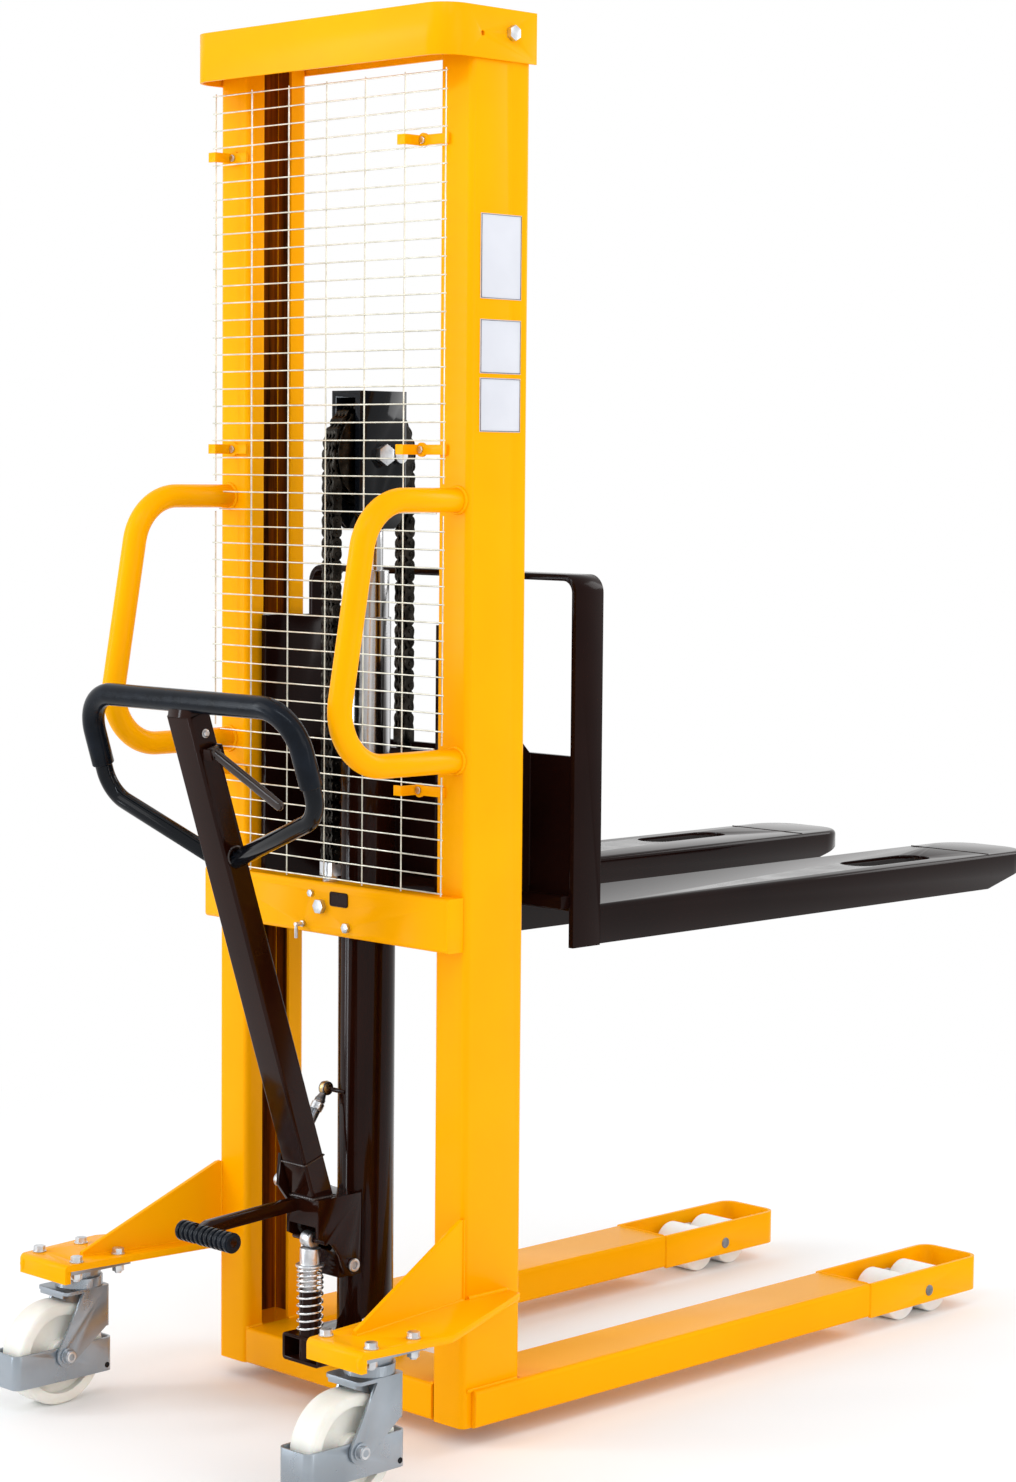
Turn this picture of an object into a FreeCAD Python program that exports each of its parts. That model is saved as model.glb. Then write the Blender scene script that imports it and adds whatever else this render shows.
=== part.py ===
import FreeCAD, Part
import math
import os

import Sketcher

# Hand pallet stacker, in millimetres: +Z up, +Y forward along the forks, +X to the operator's right.
# Sizes along Y are counted from the middle of the mast. Each finished sub-part is then moved back, so that
# the origin is on the floor below the middle of the whole machine.

SIZES = {
    "mast_half": 268,
    "mast_top": 2000,
    "column_wide": 65,
    "column_deep": 114,
    "column_wall": 6,
    "column_lip": 31,
    "column_bend": 10,
    "base_bottom": 28,
    "base_high": 54,
    "base_wall": 5,
    "leg_outset": 10,
    "leg_wide": 112,
    "leg_rear": 40,
    "leg_reach": 835,
    "leg_round": 6,
    "housing_proud": 2,
    "bogie_pin_proud": 1.2,
    "housing_wall": 6,
    "housing_round": 24,
    "cap_high": 70,
    "cap_front_high": 48,
    "cap_wall": 4,
    "cap_gap": 0.5,
    "cap_rear": 51,
    "cap_front": 1,
    "cap_round": 40,
    "midbeam_bottom": 704,
    "midbeam_high": 76,
    "midbeam_wall": 6,
    "lamp_slot_wide": 38,
    "lamp_slot_high": 16,
    "lamp_slot_across": 38,
    "grab_tube": 34,
    "grab_wall": 3,
    "grab_top": 1330,
    "grab_low": 970,
    "grab_reach_top": 165,
    "grab_reach_low": 230,
    "grab_bend": 78,
    "mesh_rows": 45,
    "mesh_columns": 6,
    "mesh_pitch": 25,
    "mesh_wire": 3,
    "clip_thick": 4,
    "clip_foot": 22,
    "clip_high": 14,
    "screw_head": 5,
    "screw_head_thick": 3,
    "cylinder_radius": 41.5,
    "cylinder_wall": 6,
    "cylinder_top": 936,
    "gland_high": 14,
    "ram_neck_radius": 21,
    "yoke_half": 30,
    "yoke_plate": 10,
    "yoke_deep": 45,
    "yoke_seat": 32,
    "pulley_pitch_radius": 71,
    "pulley_axle_radius": 12.5,
    "keeper_ahead": 32,
    "keeper_radius": 7,
    "pulley_flange": 3,
    "chain_wide": 26,
    "chain_thick": 18,
    "chain_link_block": 20,
    "stud_radius": 7,
    "carriage_plate": 10,
    "carriage_rear": 38,
    "carriage_neck": 70,
    "front_plate_at": 140,
    "front_plate_thick": 8,
    "ledge_deep": 20,
    "ledge_high": 18,
    "crossbar_high": 25,
    "mast_roller_wide": 34,
    "roller_axle_radius": 10,
    "backrest_thick": 9,
    "backrest_rear": 136,
    "backrest_wide": 56,
    "backrest_bend": 26,
    "fork_top": 751,
    "fork_high": 56,
    "fork_wide": 174,
    "fork_wall": 5,
    "fork_round": 8,
    "fork_tip_round": 62,
    "fork_taper": 130,
    "fork_nose": 22,
    "fork_slot_long": 190,
    "fork_slot_wide": 66,
    "bogie_pin_radius": 9,
    "bogie_link": 5,
    "load_roller_radius": 37.5,
    "load_roller_spread": 41,
    "load_axle_radius": 6,
    "bracket_plate": 10,
    "bracket_nose_at": 30,
    "bracket_lip": 18,
    "gusset_thick": 7,
    "gusset_edge": 6,
    "gusset_splay": 36,
    "bracket_root": 32,
    "caster_back": 280,
    "caster_trail": 48,
    "caster_plate_half": 54,
    "caster_plate_thick": 6,
    "caster_bolt_across": 45,
    "caster_bolt_along": 38,
    "caster_bolt_radius": 5,
    "swivel_radius": 32,
    "swivel_high": 16,
    "kingpin_radius": 7,
    "caster_radius": 75,
    "caster_wide": 48,
    "caster_axle_radius": 6,
    "caster_leg": 4.5,
    "fork_lug": 17,
    "fork_tail": 50,
    "fork_wrap": 12,
    "fork_wrap_high": 56,
    "fork_wrap_round": 9,
    "guard_thick": 4,
    "guard_high": 50,
    "guard_low": 37,
    "guard_room": 9,
    "guard_bend": 12,
    "pump_base_half": 40,
    "pump_base_high": 40,
    "pump_base_wall": 5,
    "pump_base_front": 48,
    "barrel_radius": 15.7,
    "plunger_radius": 10,
    "plunger_cap_radius": 15,
    "plunger_flange_radius": 21,
    "plunger_flange_thick": 4,
    "spring_radius": 18,
    "spring_wire": 3.6,
    "spring_turns": 9,
    "pump_roller_radius": 12,
    "pump_roller_half": 10,
    "pivot_back": 56,
    "pivot_height": 222,
    "pivot_radius": 8,
    "lug_half": 26,
    "lug_reach": 18,
    "tiller_plate": 6,
    "tiller_plate_half": 35,
    "tiller_lean": 18,
    "tiller_half": 25,
    "tiller_deep_half": 19,
    "tiller_wall": 3,
    "loop_bar": 763,
    "loop_low_half": 227,
    "loop_top_half": 224,
    "loop_tube_radius": 12.5,
    "loop_low_bend": 48,
    "loop_top_bend": 62,
    "grip_radius": 16,
    "lever_tip_across": 148,
    "lever_radius": 7,
    "lever_hub_radius": 8,
    "pedal_half": 57,
    "pedal_rod_radius": 6,
    "pedal_grip_radius": 14.5,
    "pedal_groove": 1.5,
    "pedal_ribs": 11,
    "pedal_arm_across": 18,
    "pedal_arm_half": 6,
    "strut_across": 43,
    "strut_top_back": 40,
    "strut_top_height": 468,
    "strut_body_radius": 8,
    "strut_body_end": 100,
    "strut_rod_radius": 3.5,
    "strut_rod_start": 26,
    "strut_eye_radius": 10,
    "strut_eye_half": 5,
    "strut_ball_radius": 4.5,
    "strut_play": 2.7,
    "blank_half": 39,
    "blank_thick": 1,
    "housing_rear_room": 71.5,
    "housing_front_room": 50.5,
    "roller_side_room": 21,
    "bogie_pivot_up": 18,
    "fork_overhang": 122,
    "fork_slot_back": 62,
    "fork_groove": 1,
    "fork_side_gap": 9,
    "carriage_side_gap": 10,
    "carriage_over_fork": 6,
    "carriage_high": 398,
    "front_plate_high": 216,
    "crossbar_over_fork": 214,
    "roller_from_end": 49,
    "backrest_high": 474,
    "mesh_inset": 22,
    "mesh_over_beam": 5,
    "mesh_chain_gap": 2,
    "midbeam_inset": 6,
    "midbeam_chain_gap": 17,
    "grab_inset": 23,
    "grab_room": 4,
    "clip_reach": 11.5,
    "clip_eye": 10,
    "ram_play": 8.5,
    "ram_step": 3,
    "ram_inside": 446,
    "ram_show": 209,
    "ram_collar_high": 67,
    "ram_neck_high": 60,
    "yoke_high": 197,
    "pulley_up": 106,
    "pump_from_pivot": 51,
    "pump_room": 15,
    "pump_base_end": 18,
    "tiller_foot_from_pump": 4,
    "pedal_from_pump": 190,
    "tiller_bracket_high": 104,
    "plunger_over_pivot": 28,
    "plunger_cap_high": 28,
    "barrel_high": 64,
    "plunger_in_base": 10,
    "pedal_below_bracket": 29,
    "strut_over_bracket": 19,
    "strut_from_bracket": 4,
    "caster_outset": 52,
    "caster_room": 12.7,
    "caster_deck": 5,
    "caster_head": 14,
    "bracket_past_caster": 65,
    "bracket_taper_from_caster": 85,
    "bracket_side": 56,
    "bracket_side_widest": 72,
    "bracket_nose_wide": 25,
    "gusset_high": 114,
    "gusset_past_caster": 10,
    "loop_join_drop": 235,
    "loop_low_drop": 153,
    "grip_drop": 110,
    "lever_drop": 73,
    "lever_tip_drop": 143,
    "lever_ear_in": 9,
    "lever_ear_thick": 3,
    "lever_pin_radius": 3,
    "lever_hub_gap": 2,
    "blank_drop": 576,
    "blank_short": 74,
    "blank_tall": 116,
    "blank_step": 6,
    "blank_space": 28,
    "run_gap": 0.05,
    "clear_gap": 0.3,
}

V = FreeCAD.Vector
doc = FreeCAD.newDocument("hand_stacker")
sheet = doc.addObject("Spreadsheet::Sheet", "Sizes")


class Size:
    """A length that holds its number and the sheet expression that it comes from."""

    def __init__(self, value, text):
        self.value = value
        self.text = text

    def __add__(self, other):
        return Size(self.value + number(other), f"({self.text} + {words(other)})")

    def __radd__(self, other):
        return self + other

    def __sub__(self, other):
        return Size(self.value - number(other), f"({self.text} - {words(other)})")

    def __rsub__(self, other):
        return -self + other

    def __mul__(self, factor):
        return Size(self.value * number(factor), f"({self.text} * {words(factor)})")

    def __truediv__(self, factor):
        return Size(self.value / number(factor), f"({self.text} / {words(factor)})")

    def __neg__(self):
        return Size(-self.value, f"(0 - {self.text})")


def number(size):
    return size.value if isinstance(size, Size) else float(size)


def words(size):
    return size.text if isinstance(size, Size) else f"({size})"


class Sheet:
    """The sheet's sizes by name."""


S = Sheet()
for row, (alias, value) in enumerate(SIZES.items(), start=1):
    sheet.set(f"A{row}", alias)
    sheet.set(f"B{row}", str(value))
    sheet.setAlias(f"B{row}", alias)
    setattr(S, alias, Size(float(value), f"Sizes.{alias}"))
doc.recompute()

# Sizes that follow from others, so that pieces which belong together keep together
S.carriage_half = S.mast_half - S.column_wide - S.carriage_side_gap
S.backrest_half = S.mast_half + S.leg_outset + S.fork_side_gap
S.grab_across = S.mast_half - S.grab_inset
S.midbeam_half = S.mast_half - S.midbeam_inset
S.mesh_half = S.mast_half - S.mesh_inset
S.mesh_bottom = S.midbeam_bottom + S.midbeam_high + S.mesh_over_beam
S.load_roller_wide = S.leg_wide - S.roller_side_room * 2
S.bogie_pivot = S.base_bottom + S.bogie_pivot_up
S.bogie_reach = S.leg_reach + S.housing_rear_room + S.load_roller_radius + S.load_roller_spread
S.carriage_bottom = S.fork_top + S.carriage_over_fork
S.carriage_top = S.carriage_bottom + S.carriage_high
S.front_plate_top = S.fork_top + S.front_plate_high
S.crossbar_top = S.fork_top + S.crossbar_over_fork
S.backrest_top = S.fork_top + S.backrest_high
S.mast_roller_low = S.carriage_bottom + S.roller_from_end
S.mast_roller_high = S.carriage_top - S.roller_from_end
S.ram_radius = S.cylinder_radius - S.ram_play
S.ram_collar_radius = S.ram_radius - S.ram_step
S.ram_bottom = S.cylinder_top - S.ram_inside
S.ram_top = S.cylinder_top + S.gland_high + S.ram_show
S.ram_collar_top = S.ram_top + S.ram_collar_high
S.yoke_bottom = S.ram_collar_top + S.ram_neck_high
S.yoke_top = S.yoke_bottom + S.yoke_high
S.pulley_height = S.yoke_bottom + S.pulley_up
S.pump_back = S.pivot_back + S.pump_from_pivot
S.pump_base_rear = S.pump_back + S.pump_base_end
S.tiller_bracket_rear = S.pump_back + S.pump_room
S.tiller_foot_back = S.pump_back - S.tiller_foot_from_pump
S.pedal_back = S.pump_back + S.pedal_from_pump
S.tiller_bracket_top = S.pivot_height + S.tiller_bracket_high
S.pedal_height = S.tiller_bracket_top - S.pedal_below_bracket
S.plunger_top = S.pivot_height + S.plunger_over_pivot
S.cap_flange_at = S.plunger_top - S.plunger_cap_high
S.barrel_top = S.base_bottom + S.base_high + S.pump_base_high + S.barrel_high
S.plunger_bottom = S.base_bottom + S.base_high + S.pump_base_high - S.plunger_in_base
S.strut_low_back = S.tiller_bracket_rear + S.strut_from_bracket
S.strut_low_height = S.tiller_bracket_top + S.strut_over_bracket
S.caster_across = S.mast_half + S.caster_outset
S.bracket_rear = S.caster_back + S.bracket_past_caster
S.bracket_taper_at = S.caster_back - S.bracket_taper_from_caster
S.bracket_inner = S.caster_across - S.caster_plate_half
S.bracket_outer = S.caster_across + S.bracket_side
S.bracket_widest = S.caster_across + S.bracket_side_widest
S.bracket_nose = S.mast_half + S.bracket_nose_wide
S.gusset_rear = S.caster_back + S.gusset_past_caster
S.loop_join = S.loop_bar - S.loop_join_drop
S.loop_low = S.loop_bar - S.loop_low_drop
S.grip_end = S.loop_bar - S.grip_drop
S.lever_pivot = S.loop_bar - S.lever_drop
S.lever_tip = S.loop_bar - S.lever_tip_drop

BOTH = (("left", -1), ("right", 1))
ABOUT = {
    "X": FreeCAD.Rotation(V(0, 1, 0), 90),
    "Y": FreeCAD.Rotation(V(1, 0, 0), -90),
    "Z": FreeCAD.Rotation(),
}
parts = {}


def place(obj, at, rotation=None):
    obj.Placement = FreeCAD.Placement(V(*[number(size) for size in at]), rotation or FreeCAD.Rotation())
    for axis, size in zip("xyz", at):
        obj.setExpression(f"Placement.Base.{axis}", words(size))
    return obj


def box(name, x, y, z):
    obj = doc.addObject("Part::Box", name)
    for prop, (low, high) in zip(("Length", "Width", "Height"), (x, y, z)):
        obj.setExpression(prop, words(high - low))
    return place(obj, (x[0], y[0], z[0]))


def rod(name, axis, centre, span, radius):
    """A round bar along an axis. centre gives its place on the other two axes."""
    obj = doc.addObject("Part::Cylinder", name)
    obj.setExpression("Radius", words(radius))
    obj.setExpression("Height", words(span[1] - span[0]))
    at = list(centre)
    at.insert("XYZ".index(axis), span[0])
    return place(obj, at, ABOUT[axis])


def hexagon(name, axis, centre, span, radius):
    obj = doc.addObject("Part::Prism", name)
    obj.Polygon = 6
    obj.setExpression("Circumradius", words(radius))
    obj.setExpression("Height", words(span[1] - span[0]))
    at = list(centre)
    at.insert("XYZ".index(axis), span[0])
    return place(obj, at, ABOUT[axis])


def ball(name, centre, radius):
    obj = doc.addObject("Part::Sphere", name)
    obj.setExpression("Radius", words(radius))
    return place(obj, centre)


def fuse(name, *pieces):
    obj = doc.addObject("Part::MultiFuse", name)
    obj.Shapes = list(pieces)
    obj.Refine = True
    return obj


def cut(name, base, *tools):
    obj = doc.addObject("Part::Cut", name)
    obj.Base = base
    obj.Tool = tools[0] if len(tools) == 1 else fuse(f"{name}_tools", *tools)
    return obj


def group(name, *pieces):
    """Separate solids that share one node."""
    obj = doc.addObject("Part::Compound", name)
    obj.Links = list(pieces)
    return obj


def edges_along(shape, direction, keep):
    """Numbers of the straight edges that run along direction and whose middle passes keep."""
    found = []
    for index, edge in enumerate(shape.Edges, start=1):
        if not isinstance(edge.Curve, (Part.Line, Part.LineSegment)):
            continue
        run = edge.lastVertex().Point - edge.firstVertex().Point
        if run.Length > 0 and run.normalize().cross(direction).Length < 1e-6:
            middle = (edge.firstVertex().Point + edge.lastVertex().Point) / 2
            if keep(middle):
                found.append(index)
    return found


def rounded(name, base, radius, direction, keep=lambda middle: True):
    doc.recompute()
    obj = doc.addObject("Part::Fillet", name)
    obj.Base = base
    size = number(radius)
    obj.Edges = [(index, size, size) for index in edges_along(base.Shape, direction, keep)]
    doc.recompute()
    return obj


PLANE_SIGN = {"XY": 1, "XZ": -1, "YZ": 1}
X_WAY, Y_WAY, Z_WAY = V(1, 0, 0), V(0, 1, 0), V(0, 0, 1)


def plate(name, plane, corners, span):
    """A padded outline: a body with one sketch, every corner bound to the sheet."""
    body = doc.addObject("PartDesign::Body", name)
    sketch = body.newObject("Sketcher::SketchObject", f"{name}_outline")
    origin = [face for face in body.Origin.OriginFeatures if face.Role == f"{plane}_Plane"][0]
    sketch.AttachmentSupport = [(origin, "")]
    sketch.MapMode = "FlatFace"
    start = span[0] if PLANE_SIGN[plane] > 0 else -span[1]
    sketch.AttachmentOffset = FreeCAD.Placement(V(0, 0, number(start)), FreeCAD.Rotation())
    sketch.setExpression("AttachmentOffset.Base.z", words(start))
    points = [V(number(across), number(up), 0) for across, up in corners]
    count = len(points)
    for index in range(count):
        sketch.addGeometry(Part.LineSegment(points[index], points[(index + 1) % count]))
    for index in range(count):
        sketch.addConstraint(Sketcher.Constraint("Coincident", index, 2, (index + 1) % count, 1))
    for index, (across, up) in enumerate(corners):
        for kind, size in (("DistanceX", across), ("DistanceY", up)):
            made = sketch.addConstraint(Sketcher.Constraint(kind, -1, 1, index, 1, number(size)))
            sketch.setExpression(f"Constraints[{made}]", words(size))
    pad = body.newObject("PartDesign::Pad", f"{name}_pad")
    pad.Profile = sketch
    pad.setExpression("Length", words(span[1] - span[0]))
    body.Tip = pad
    return body


def round_body(body, radius, direction, keep=lambda middle: True):
    """Rounds the chosen edges of a body, with the radius bound to the sheet."""
    doc.recompute()
    base = body.Tip
    names = [f"Edge{index}" for index in edges_along(base.Shape, direction, keep)]
    fillet = body.newObject("PartDesign::Fillet", f"{body.Name}_round_{len(body.Group)}")
    fillet.Base = (base, names)
    fillet.setExpression("Radius", words(radius))
    body.Tip = fillet
    doc.recompute()
    return body


def formed(name, shape, placement=None):
    """A piece whose shape is worked out here from the sheet's sizes."""
    obj = doc.addObject("Part::Feature", name)
    obj.Shape = shape
    obj.Placement = placement or FreeCAD.Placement()
    return obj


def bent_path(points, bends):
    """Straight runs joined by tangent arcs: bends gives the radius at each inner point."""
    edges = []
    last = points[0]
    for index in range(1, len(points) - 1):
        corner = points[index]
        back = (points[index - 1] - corner).normalize()
        ahead = (points[index + 1] - corner).normalize()
        half = back.getAngle(ahead) / 2
        reach = bends[index - 1] / math.tan(half)
        inward = (back + ahead).normalize()
        centre = corner + inward * (bends[index - 1] / math.sin(half))
        start = corner + back * reach
        end = corner + ahead * reach
        edges.append(Part.LineSegment(last, start).toShape())
        edges.append(Part.Arc(start, centre - inward * bends[index - 1], end).toShape())
        last = end
    edges.append(Part.LineSegment(last, points[-1]).toShape())
    return Part.Wire(edges)


def pipe(path, radius):
    first = path.Edges[0]
    start = first.valueAt(first.FirstParameter)
    way = first.tangentAt(first.FirstParameter)
    ring = Part.Wire(Part.Circle(start, way, radius).toShape())
    return path.makePipeShell([ring], True, False)


def hull(side, low, high):
    """A span across the machine, mirrored for the left side."""
    return (low, high) if side > 0 else (-high, -low)


def keep_part(name, obj):
    """Names a sub-part and moves it from the middle of the mast to the middle of the whole machine."""
    obj.Label = name
    along = f"{obj.Placement.Base.y}"
    for path, expression in obj.ExpressionEngine:
        if path.endswith("Placement.Base.y"):
            along = expression
    obj.setExpression("Placement.Base.y", f"{along} - {words(ROW_MIDDLE)}")
    parts[name] = obj
    return obj


# Places that several pieces share
COLUMN_IN = S.mast_half - S.column_wide
COLUMN_HALF = S.column_deep / 2
BASE_TOP = S.base_bottom + S.base_high
CAP_BOTTOM = S.mast_top - S.cap_high
CAP_HALF = S.mast_half + S.cap_gap + S.cap_wall
LEG_OUT = S.mast_half + S.leg_outset
LEG_IN = LEG_OUT - S.leg_wide
ROLLERS_REACH = S.bogie_reach + S.load_roller_spread + S.load_roller_radius
HOUSING_END = ROLLERS_REACH + S.housing_front_room + S.housing_wall
S.fork_tip = HOUSING_END + S.fork_overhang
S.fork_slot_centre = S.bogie_reach - S.fork_slot_back
CHAIN_IN = S.pulley_pitch_radius - S.chain_thick / 2
CHAIN_OUT = S.pulley_pitch_radius + S.chain_thick / 2
CHAIN_HALF = S.chain_wide / 2
MESH_BACK = CHAIN_OUT + S.mesh_chain_gap
MIDBEAM_TOP = S.midbeam_bottom + S.midbeam_high
MIDBEAM_BACK = S.pulley_pitch_radius + S.midbeam_chain_gap
PUMP_BASE_TOP = BASE_TOP + S.pump_base_high
CROSSBAR_BOTTOM = S.crossbar_top - S.crossbar_high
FORK_DECK = S.caster_radius * 2 + S.caster_room
RACE_BOTTOM = FORK_DECK + S.caster_deck + S.caster_head + S.clear_gap
CASTER_PLATE_BOTTOM = RACE_BOTTOM + S.swivel_high
BRACKET_BOTTOM = CASTER_PLATE_BOTTOM + S.caster_plate_thick
S.bracket_top = BRACKET_BOTTOM + S.bracket_plate
S.gusset_top = S.bracket_top + S.gusset_high
AXLE_BACK = S.caster_back + S.caster_trail
GUARD_REACH = S.caster_radius + S.guard_room + S.guard_thick
ROW_MIDDLE = (S.fork_tip - AXLE_BACK - GUARD_REACH) / 2
BEAM_BOLT_RADIUS = 6
BEAM_BOLT_ALONG = 13
BEAM_BOLT_BELOW_TOP = 32
SPARE_HOLE_RADIUS = 3.5
SPARE_HOLE_BACK = 42
SPARE_HOLE_BELOW_TOP = 37


def mast_channel(name, side):
    """Cold formed lipped channel, open towards the middle of the mast."""
    outer = S.mast_half * side
    web = (S.mast_half - S.column_wall) * side
    lip_in = (COLUMN_IN + S.column_wall) * side
    inner = COLUMN_IN * side
    flange = COLUMN_HALF - S.column_wall
    mouth = COLUMN_HALF - S.column_lip
    corners = [
        (outer, -COLUMN_HALF), (outer, COLUMN_HALF), (inner, COLUMN_HALF), (inner, mouth),
        (lip_in, mouth), (lip_in, flange), (web, flange), (web, -flange),
        (lip_in, -flange), (lip_in, -mouth), (inner, -mouth), (inner, -COLUMN_HALF),
    ]
    body = plate(f"{name}_section", "XY", corners, (S.base_bottom, S.mast_top - S.cap_wall))
    edge = number(COLUMN_HALF) - 1
    round_body(body, S.column_bend, Z_WAY, lambda middle: abs(middle.y) > edge)
    inside = number(flange)
    round_body(body, S.column_bend - S.column_wall, Z_WAY, lambda middle: abs(abs(middle.y) - inside) < 0.5)
    bolt_hole = rod(
        f"{name}_bolt_hole", "X", (BEAM_BOLT_ALONG, S.mast_top - BEAM_BOLT_BELOW_TOP),
        hull(side, COLUMN_IN, S.mast_half), BEAM_BOLT_RADIUS + S.run_gap,
    )
    return cut(name, body, bolt_hole)


def top_beam():
    """Folded cap over both columns, open below, with two large bends at the rear and a short front wall."""
    rear = -(COLUMN_HALF + S.cap_rear + S.cap_wall)
    front = COLUMN_HALF + S.cap_front + S.cap_wall
    at_rear = number(rear) + 1
    outer = box("cap_outer", (-CAP_HALF, CAP_HALF), (rear, front), (CAP_BOTTOM, S.mast_top))
    outer = rounded("cap_outer_bends", outer, S.cap_round, Z_WAY, lambda middle: middle.y < at_rear)
    hollow = CAP_HALF - S.cap_wall
    inner = box(
        "cap_inner", (-hollow, hollow), (rear + S.cap_wall, front - S.cap_wall),
        (CAP_BOTTOM - S.cap_wall, S.mast_top - S.cap_wall),
    )
    inner_rear = at_rear + number(S.cap_wall)
    inner = rounded(
        "cap_inner_bends", inner, S.cap_round - S.cap_wall, Z_WAY, lambda middle: middle.y < inner_rear,
    )
    bolts = rod(
        "cap_bolt_holes", "X", (BEAM_BOLT_ALONG, S.mast_top - BEAM_BOLT_BELOW_TOP),
        (-CAP_HALF, CAP_HALF), BEAM_BOLT_RADIUS + S.run_gap,
    )
    spare = rod(
        "cap_spare_holes", "X", (-SPARE_HOLE_BACK, S.mast_top - SPARE_HOLE_BELOW_TOP),
        (-CAP_HALF, CAP_HALF), SPARE_HOLE_RADIUS,
    )
    below_front = box(
        "cap_below_front", (-hollow, hollow), (front - S.cap_wall * 2, front + 1),
        (CAP_BOTTOM - 1, S.mast_top - S.cap_front_high),
    )
    return cut("top_beam", outer, inner, bolts, spare, below_front)


MIDBEAM_BOLTS = (
    ("lock", 0, 41, 6, 11),
    ("small", -22, 58, 3, 5.5),
    ("side", 55, 15, 4, 7.5),
    ("hook", -39, 12, 3, 5),
)


def mid_beam():
    """Bent channel across the rear of the columns, which carries the rear chain anchor."""
    half = S.midbeam_half
    web = box(
        "midbeam_web", (-half, half), (-MIDBEAM_BACK, S.midbeam_wall - MIDBEAM_BACK),
        (S.midbeam_bottom, MIDBEAM_TOP),
    )
    inside = (S.midbeam_wall - MIDBEAM_BACK, -COLUMN_HALF)
    top = box("midbeam_top", (-half, half), inside, (MIDBEAM_TOP - S.midbeam_wall, MIDBEAM_TOP))
    low = box(
        "midbeam_low", (-half, half), inside, (S.midbeam_bottom, S.midbeam_bottom + S.midbeam_wall),
    )
    ends = []
    for name, side in BOTH:
        ends.append(box(
            f"midbeam_end_{name}", hull(side, half - S.midbeam_wall, half), inside,
            (S.midbeam_bottom, MIDBEAM_TOP),
        ))
    channel = fuse("midbeam_channel", web, top, low, *ends)
    back = number(MIDBEAM_BACK) - 0.5
    channel = rounded("midbeam_bends", channel, S.midbeam_wall, X_WAY, lambda middle: middle.y < -back)
    slot_low = MIDBEAM_TOP - 30
    slot = box(
        "midbeam_slot",
        (S.lamp_slot_across - S.lamp_slot_wide / 2, S.lamp_slot_across + S.lamp_slot_wide / 2),
        (-MIDBEAM_BACK - 1, S.midbeam_wall - MIDBEAM_BACK + 1),
        (slot_low, slot_low + S.lamp_slot_high),
    )
    stud = rod(
        "midbeam_stud_hole", "Z", (0, -S.pulley_pitch_radius),
        (MIDBEAM_TOP - S.midbeam_wall - 1, MIDBEAM_TOP + 1), S.stud_radius + S.run_gap,
    )
    holes = []
    for name, across, up, radius, _ in MIDBEAM_BOLTS:
        holes.append(rod(
            f"midbeam_hole_{name}", "Y", (across, S.midbeam_bottom + up),
            (-MIDBEAM_BACK - 1, S.midbeam_wall - MIDBEAM_BACK + 1), radius + S.run_gap,
        ))
    return cut("mid_beam", channel, slot, stud, *holes)


def beam_bolts():
    """Cap bolts, and the bolts and hooked screw in the mid beam."""
    pieces = []
    height = S.mast_top - BEAM_BOLT_BELOW_TOP
    for name, side in BOTH:
        shank = rod(
            f"cap_bolt_{name}_shank", "X", (BEAM_BOLT_ALONG, height),
            hull(side, S.mast_half - S.column_wall, CAP_HALF), BEAM_BOLT_RADIUS,
        )
        head = hexagon(
            f"cap_bolt_{name}_head", "X", (BEAM_BOLT_ALONG, height),
            hull(side, CAP_HALF, CAP_HALF + 8), BEAM_BOLT_RADIUS * 1.8,
        )
        pieces.append(fuse(f"cap_bolt_{name}", shank, head))
    for name, across, up, radius, head_radius in MIDBEAM_BOLTS:
        at = (across, S.midbeam_bottom + up)
        shank = rod(
            f"midbeam_bolt_{name}_shank", "Y", at,
            (-MIDBEAM_BACK, S.midbeam_wall - MIDBEAM_BACK), radius,
        )
        head_thick = radius * 1.3
        head = hexagon(
            f"midbeam_bolt_{name}_head", "Y", at, (-MIDBEAM_BACK - head_thick, -MIDBEAM_BACK), head_radius,
        )
        solids = [shank, head]
        if name == "hook":
            neck = rod("hook_neck", "Y", at, (-MIDBEAM_BACK - 16, -MIDBEAM_BACK), radius)
            tail = rod(
                "hook_tail", "Z", (across, -MIDBEAM_BACK - 14),
                (S.midbeam_bottom + up - 20, S.midbeam_bottom + up), radius * 0.8,
            )
            solids += [neck, tail]
        pieces.append(fuse(f"midbeam_bolt_{name}", *solids))
    return group("beam_bolts", *pieces)


def base_beam():
    """Rectangular tube between the feet of the columns."""
    outer = box(
        "base_outer", (-COLUMN_IN, COLUMN_IN), (-COLUMN_HALF, COLUMN_HALF), (S.base_bottom, BASE_TOP),
    )
    outer = rounded("base_rounds", outer, S.leg_round, X_WAY)
    inner = box(
        "base_inner", (-COLUMN_IN, COLUMN_IN),
        (S.base_wall - COLUMN_HALF, COLUMN_HALF - S.base_wall),
        (S.base_bottom + S.base_wall, BASE_TOP - S.base_wall),
    )
    return cut("base_beam", outer, inner)


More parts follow.
